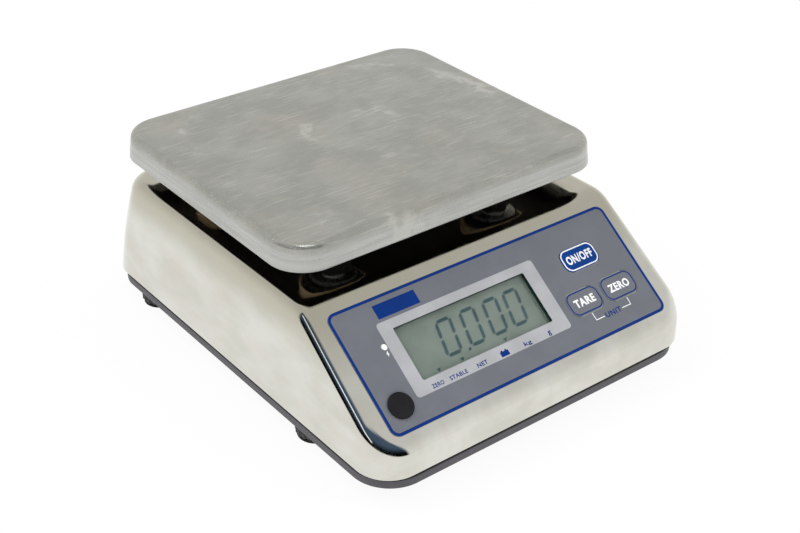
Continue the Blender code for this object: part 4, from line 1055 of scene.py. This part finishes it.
def build_plug():
    """The rubber plug: a disc with a soft edge over a hollow stem, the socket that it closes, and the lamp."""
    place = (-91.3 * MM, -23.4 * MM, 0)
    grid = turned(eased(np.array(PLUG) * MM, 0.5 * MM), place, 72)
    panel_sheet("plug", grid, plain("silicone_rubber"), "socket_plug", "black_rubber", "socket_plug")
    grid = turned(eased(np.array(SOCKET) * MM, 0.2 * MM), place, 64)
    panel_sheet("socket", grid, plain("moulded_nylon"), "housing", "black_plastic", "charging_socket")

    radius = 1.9 * MM
    lamp = PANEL.inverted() @ centre_of("charge_lamp")
    t = np.linspace(0, np.pi / 2, 9)
    lens = np.stack([radius * np.sin(t), 0.5 * MM - 0.95 * MM * (1 - np.cos(t))], -1)
    lens = np.concatenate([lens, [(radius, -8 * MM), (0, -8 * MM)]])
    grid = turned(lens, (lamp.x, 9.7 * MM, 0), 40)
    panel_sheet("lamp", grid, plain("opal_lens"), "housing", "white_lens", "charge_lamp")


def build_feet(sizes):
    """Four feet: a scalloped knob on a threaded stud, which turns on a rubber sole.

    The knob's radius falls by a flute depth times half of one minus the cosine of twenty times the angle.
    The stud's radius rises and falls with height over pitch less the share of a turn, which is a helix.
    """
    angle = np.linspace(0, 2 * np.pi, 240, endpoint=False)
    lobes = 0.5 - 0.5 * np.cos(20 * angle)
    stud, knob, bore = 4.0 * MM, 12.2 * MM, 3.3 * MM
    knob_top, bore_top = 7.1 * MM, 2.9 * MM
    flute, thread = 0.9 * MM, 0.65 * MM
    sole = np.array([(0, 5), (3, 5), (3, 2), (11.2, 2), (11.2, 0), (0, 0)]) * MM
    for number in range(1, 5):
        node = f"foot_knob_{number}"
        low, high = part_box(node)
        x, y, _ = centre_of(node)
        top = high.z - low.z
        # each row is a radius, a height, and its shares of the flutes and of the thread
        rows = [(0, top, 0, 0), (stud - 0.8 * MM, top, 0, 0)]
        rows += [(stud, level, 0, 1) for level in np.linspace(top - 0.6 * MM, knob_top + 0.2 * MM, 110)]
        cap = eased([(stud, knob_top), (knob, knob_top), (knob, 0), (bore, 0)], 1.3 * MM, 7)
        rows += [(radius, level, min(max((radius - 8 * MM) / (2.6 * MM), 0), 1), 0) for radius, level in cap]
        rows += [(bore, bore_top, 0, 0), (0, bore_top, 0, 0)]
        radius, level, fluted, threaded = np.array(rows).T[..., None]
        turn = level / sizes.thread_pitch - angle / (2 * np.pi)
        ridge = abs(2 * (turn - np.floor(turn)) - 1)
        radius = radius - fluted * flute * lobes - threaded * thread * ridge
        places = [x + radius * np.cos(angle), y + radius * np.sin(angle), low.z + level + 0 * radius]
        made = sheet(f"knob_{number}", np.stack(places, -1), plain("moulded_nylon"), sharp=50)
        settle(made, node, "black_plastic", node)

        node = f"foot_sole_{number}"
        grid = turned(eased(sole, 0.5 * MM), (x, y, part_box(node)[0].z))
        settle(sheet(f"sole_{number}", grid, plain("silicone_rubber")), node, "black_rubber", node)


def build_finishes():
    """Finishes for the CAD nodes that stay: base, printed film, display, screws, and all that is inside."""
    wear(plain("moulded_abs"), "base_plate")
    wear(plain("printed_film"), "overlay_panel")
    wear(plain("display_glass"), "lcd_glass")
    wear(plain("moulded_nylon"), "lcd_holder")
    wear(plain("circuit_board"), "display_board", "main_board")
    wear(plain("zinc_plate"), *(f"base_screw_{number}" for number in range(1, 5)))
    wear(plain("zinc_plate"), "cover_rail_front", "cover_rail_rear")
    wear(plain("zinc_plate"), "overload_stop", "battery_clamp", "amplifier_shield")
    wear(plain("milled_aluminium"), "spider", "cell_top_block", "load_cell", "cell_base_block")
    wear(plain("battery_case"), "battery")
    wear(plain("silicone_rubber"), "battery_lead", "load_cell_cable")


# Stage


CAMERA_PLACE = (-0.46002, -0.58485, 0.49583)
CAMERA_AZIMUTH = math.radians(-38.68)
CAMERA_ELEVATION = math.radians(31.491)
CAMERA_ROLL = math.radians(0.948)
CAMERA_LENS = 62.18


def build_camera():
    """The photograph's camera: a turn, a tilt and a slight roll about the line of sight."""
    a, e, r = CAMERA_AZIMUTH, CAMERA_ELEVATION, CAMERA_ROLL
    back = Vector((math.sin(a) * math.cos(e), -math.cos(a) * math.cos(e), math.sin(e)))
    level = Vector((math.cos(a), math.sin(a), 0))
    rise = back.cross(level)
    right = level * math.cos(r) + rise * math.sin(r)
    up = rise * math.cos(r) - level * math.sin(r)
    data = bpy.data.cameras.new("photo_camera")
    data.lens = CAMERA_LENS
    data.sensor_width = 36.0
    data.sensor_fit = "HORIZONTAL"
    data.clip_start = 0.01
    data.clip_end = 50
    made = bpy.data.objects.new("photo_camera", data)
    turn = Matrix((right, up, back)).transposed().to_4x4()
    made.matrix_world = Matrix.Translation(Vector(CAMERA_PLACE)) @ turn
    bpy.context.scene.collection.objects.link(made)
    bpy.context.scene.camera = made


def seen(tree):
    """One for rays from the camera, or for mirrored or refracted rays, and nought for the rest."""
    path = add(tree, "ShaderNodeLightPath")
    total = path.outputs["Is Camera Ray"]
    for name in ("Is Glossy Ray", "Is Transmission Ray"):
        total = add(
            tree, "ShaderNodeMath", {0: total, 1: path.outputs[name]}, operation="ADD", use_clamp=True
        ).outputs[0]
    return total


FLOOR_GLOW = 0.93


def build_floor(colours):
    """The white table top, which keeps a faint shadow: for rays that see it, most of it is a plain white."""
    half = 12.0
    corners = np.array([(-half, -half), (half, -half), (half, half), (-half, half)])[None]
    points, faces = prisms(corners, -20 * MM, -0.05 * MM)
    made = bpy.data.materials.new("white_laminate")
    made.use_nodes = True
    tree = made.node_tree
    shader = tree.nodes["Principled BSDF"]
    shader.inputs["Base Color"].default_value = (*colours.floor, 1)
    shader.inputs["Roughness"].default_value = 0.9
    shader.inputs["Specular IOR Level"].default_value = 0.0
    glow = add(tree, "ShaderNodeEmission", {"Color": (1, 1, 1, 1), "Strength": 1.0}).outputs[0]
    share = add(tree, "ShaderNodeMath", {0: seen(tree), 1: FLOOR_GLOW}, operation="MULTIPLY").outputs[0]
    mixed = add(tree, "ShaderNodeMixShader", {0: share, 1: shader.outputs[0], 2: glow}).outputs[0]
    tree.links.new(mixed, tree.nodes["Material Output"].inputs["Surface"])
    piece("floor", points, faces, made)


# the dark side of the room: its middle as a level direction, and its half width and top in degrees
DARK_MIDDLE = (-0.725, -0.688, 0)
DARK_HALF_WIDTH = 68
DARK_TOP = 51
PLAIN_LIGHT = 0.72


def build_world(colours):
    """A white room: plain light on the object, and for mirrored rays a studio whose camera side is dark."""
    world = bpy.data.worlds.new("white_room")
    bpy.context.scene.world = world
    world.use_nodes = True
    tree = world.node_tree
    tree.nodes.clear()
    path = add(tree, "ShaderNodeLightPath").outputs
    toward = add(tree, "ShaderNodeTexCoord").outputs["Generated"]
    sockets = {0: toward, 1: (0, 0, 1)}
    height = add(tree, "ShaderNodeVectorMath", sockets, operation="DOT_PRODUCT").outputs["Value"]
    flat = add(tree, "ShaderNodeVectorMath", {0: toward, 1: (1, 1, 0)}, operation="MULTIPLY").outputs[0]
    flat = add(tree, "ShaderNodeVectorMath", {0: flat}, operation="NORMALIZE").outputs[0]
    sockets = {0: flat, 1: DARK_MIDDLE}
    facing = add(tree, "ShaderNodeVectorMath", sockets, operation="DOT_PRODUCT").outputs["Value"]

    def sine(degrees):
        return math.sin(math.radians(degrees))

    # the ceiling is a little greyer than the walls
    bright = between(tree, height, 0.95, 0.74, 0.05, 0.85)
    rim = 90 - DARK_HALF_WIDTH
    sideways = between(tree, facing, 0, 1, sine(rim - 3), sine(rim + 5))
    above = between(tree, height, 0, 1, sine(0.5), sine(3))
    below = between(tree, height, 1, 0, sine(DARK_TOP), sine(DARK_TOP + 13))
    dark = add(tree, "ShaderNodeMath", {0: sideways, 1: above}, operation="MULTIPLY").outputs[0]
    dark = add(tree, "ShaderNodeMath", {0: dark, 1: below}, operation="MULTIPLY").outputs[0]
    # the dark side is black low down and blue-grey higher up
    deep = blended(tree, between(tree, height, 0, 1, sine(12), sine(38)), linear("#07080B"), linear("#4A5D78"))
    sockets = {"Red": bright, "Green": bright, "Blue": bright}
    light = add(tree, "ShaderNodeCombineColor", sockets).outputs[0]
    room = blended(tree, dark, light, deep)
    tint = (*colours.world, 1)
    mirrored = add(tree, "ShaderNodeBackground", {"Color": room, "Strength": 1.0}).outputs[0]
    plain = add(tree, "ShaderNodeBackground", {"Color": tint, "Strength": PLAIN_LIGHT}).outputs[0]
    white = add(tree, "ShaderNodeBackground", {"Color": tint, "Strength": 1.0}).outputs[0]
    sockets = {0: path["Is Glossy Ray"], 1: plain, 2: mirrored}
    lit = add(tree, "ShaderNodeMixShader", sockets).outputs[0]
    # the white shows to the camera, and through the pane where no dull surface came before it
    sockets = {0: path["Diffuse Depth"], 1: 0.5}
    first = add(tree, "ShaderNodeMath", sockets, operation="LESS_THAN").outputs[0]
    sockets = {0: path["Is Transmission Ray"], 1: first}
    through = add(tree, "ShaderNodeMath", sockets, operation="MULTIPLY").outputs[0]
    sockets = {0: path["Is Camera Ray"], 1: through}
    direct = add(tree, "ShaderNodeMath", sockets, operation="MAXIMUM").outputs[0]
    shown = add(tree, "ShaderNodeMixShader", {0: direct, 1: lit, 2: white}).outputs[0]
    add(tree, "ShaderNodeOutputWorld", {"Surface": shown})


LAMPS_AIM = Vector((0, 0, 80 * MM))


def build_lamps():
    """Three broad soft lamps, and two by the camera that draw the bright lines on the steel."""
    # place, direction of the longer side, width and height in metres, watts, and whether the steel mirrors it
    lamps = {
        "rear_lamp": ((-0.9, 0.6, 1.5), (0, 0, 1), (1.2, 1.2), 14.0, False),
        "front_lamp": ((0.9, -1.1, 1.3), (0, 0, 1), (1.0, 1.0), 8.0, False),
        "strip_lamp": ((-1.03, -0.30, 0.68), (0.2, 0.85, 0.43), (1.1, 0.13), 0.6, True),
        "corner_lamp": ((-0.38, -0.56, 1.12), (0.78, -0.62, 0), (0.5, 0.35), 2.4, True),
        "low_lamp": ((-0.75, -0.95, 0.12), (0, 0, 1), (0.5, 0.5), 3.0, False),
    }
    for name, (place, along, size, power, shows) in lamps.items():
        data = bpy.data.lights.new(name, "AREA")
        data.shape = "RECTANGLE"
        data.size, data.size_y = size
        data.energy = power
        made = bpy.data.objects.new(name, data)
        back = (Vector(place) - LAMPS_AIM).normalized()
        up = back.cross(Vector(along)).normalized()
        turn = Matrix((up.cross(back), up, back)).transposed().to_4x4()
        made.matrix_world = Matrix.Translation(place) @ turn
        made.visible_glossy = shows
        made.visible_camera = False
        bpy.context.scene.collection.objects.link(made)
        if name == "corner_lamp":
            # flags keep it off the polished cover, so that it lights the pan's corner alone
            alone = bpy.data.collections.new("corner_lamp_lights")
            alone.objects.link(bpy.data.objects["pan"])
            made.light_linking.receiver_collection = alone


def build_stage(colours):
    """The camera, the table top, the room and its lamps."""
    kept = set(frame["nodes"].values()) | set(frame["bodies"].values())
    for name in ("Cube", "Light", "Camera"):
        stray = bpy.data.objects.get(name)
        if stray and stray not in kept:
            bpy.data.objects.remove(stray, do_unlink=True)
    build_camera()
    build_floor(colours)
    build_world(colours)
    build_lamps()
    bpy.context.scene.view_settings.view_transform = "Standard"


# Operators and panel


class CoverOperator(bpy.types.Operator):
    """Builds the polished wedge-shaped cover"""

    bl_idname = "table_scale.cover"
    bl_label = "Cover"

    def execute(self, context):
        build_cover(context.scene.table_scale_sizes)
        return {"FINISHED"}


class PanOperator(bpy.types.Operator):
    """Builds the lift-off pan"""

    bl_idname = "table_scale.pan"
    bl_label = "Pan"

    def execute(self, context):
        build_pan(context.scene.table_scale_sizes)
        return {"FINISHED"}


class CupsOperator(bpy.types.Operator):
    """Builds the four cups under the pan"""

    bl_idname = "table_scale.cups"
    bl_label = "Cups"

    def execute(self, context):
        build_cups()
        return {"FINISHED"}


class CushionsOperator(bpy.types.Operator):
    """Builds the four rubber cushions"""

    bl_idname = "table_scale.cushions"
    bl_label = "Cushions"

    def execute(self, context):
        build_cushions()
        return {"FINISHED"}


class PostsOperator(bpy.types.Operator):
    """Builds the four posts"""

    bl_idname = "table_scale.posts"
    bl_label = "Posts"

    def execute(self, context):
        build_posts()
        return {"FINISHED"}


class BootsOperator(bpy.types.Operator):
    """Builds the four rubber bellows"""

    bl_idname = "table_scale.boots"
    bl_label = "Boots"

    def execute(self, context):
        build_boots()
        return {"FINISHED"}


class BaseOperator(bpy.types.Operator):
    """Builds the base's smooth rim"""

    bl_idname = "table_scale.base"
    bl_label = "Base rim"

    def execute(self, context):
        build_base()
        return {"FINISHED"}


class PrintsOperator(bpy.types.Operator):
    """Builds the panel's prints"""

    bl_idname = "table_scale.prints"
    bl_label = "Prints"

    def execute(self, context):
        build_prints()
        return {"FINISHED"}


class KeysOperator(bpy.types.Operator):
    """Builds the three keys with their words"""

    bl_idname = "table_scale.keys"
    bl_label = "Keys"

    def execute(self, context):
        build_keys(context.scene.table_scale_sizes)
        return {"FINISHED"}


class DisplayOperator(bpy.types.Operator):
    """Builds the window pane and the display's figures"""

    bl_idname = "table_scale.display"
    bl_label = "Display"

    def execute(self, context):
        build_display()
        return {"FINISHED"}


class PlugOperator(bpy.types.Operator):
    """Builds the rubber plug, the charging socket and the lamp"""

    bl_idname = "table_scale.plug"
    bl_label = "Plug and lamp"

    def execute(self, context):
        build_plug()
        return {"FINISHED"}


class FeetOperator(bpy.types.Operator):
    """Builds the four levelling feet"""

    bl_idname = "table_scale.feet"
    bl_label = "Feet"

    def execute(self, context):
        build_feet(context.scene.table_scale_sizes)
        return {"FINISHED"}


class FinishesOperator(bpy.types.Operator):
    """Gives the CAD nodes that stay their finishes"""

    bl_idname = "table_scale.finishes"
    bl_label = "Finishes"

    def execute(self, context):
        build_finishes()
        return {"FINISHED"}


class StageOperator(bpy.types.Operator):
    """Builds the camera, the table top, the room and the lamps"""

    bl_idname = "table_scale.stage"
    bl_label = "Stage"

    def execute(self, context):
        build_stage(context.scene.table_scale_colours)
        return {"FINISHED"}


OPERATORS = (
    CoverOperator,
    PanOperator,
    CupsOperator,
    CushionsOperator,
    PostsOperator,
    BootsOperator,
    BaseOperator,
    PrintsOperator,
    KeysOperator,
    DisplayOperator,
    PlugOperator,
    FeetOperator,
    FinishesOperator,
    StageOperator,
)


class ScalePanel(bpy.types.Panel):
    """Lists the pieces, and the sizes and colours that may be changed"""

    bl_idname = "VIEW3D_PT_table_scale"
    bl_label = "Table scale"
    bl_space_type = "VIEW_3D"
    bl_region_type = "UI"
    bl_category = "Table scale"

    def draw(self, context):
        for group in (context.scene.table_scale_sizes, context.scene.table_scale_colours):
            for name in group.__annotations__:
                self.layout.prop(group, name)
        for operator in OPERATORS:
            self.layout.operator(operator.bl_idname)


CLASSES = (ScaleSizes, ScaleColours, *OPERATORS, ScalePanel)


def register():
    for item in CLASSES:
        bpy.utils.register_class(item)
    bpy.types.Scene.table_scale_sizes = bpy.props.PointerProperty(type=ScaleSizes)
    bpy.types.Scene.table_scale_colours = bpy.props.PointerProperty(type=ScaleColours)


def unregister():
    del bpy.types.Scene.table_scale_colours
    del bpy.types.Scene.table_scale_sizes
    for item in reversed(CLASSES):
        bpy.utils.unregister_class(item)


def main():
    register()
    bpy.ops.table_scale.cover()
    bpy.ops.table_scale.pan()
    bpy.ops.table_scale.cups()
    bpy.ops.table_scale.cushions()
    bpy.ops.table_scale.posts()
    bpy.ops.table_scale.boots()
    bpy.ops.table_scale.base()
    bpy.ops.table_scale.prints()
    bpy.ops.table_scale.keys()
    bpy.ops.table_scale.display()
    bpy.ops.table_scale.plug()
    bpy.ops.table_scale.feet()
    bpy.ops.table_scale.finishes()
    bpy.ops.table_scale.stage()


if __name__ == "__main__":
    main()
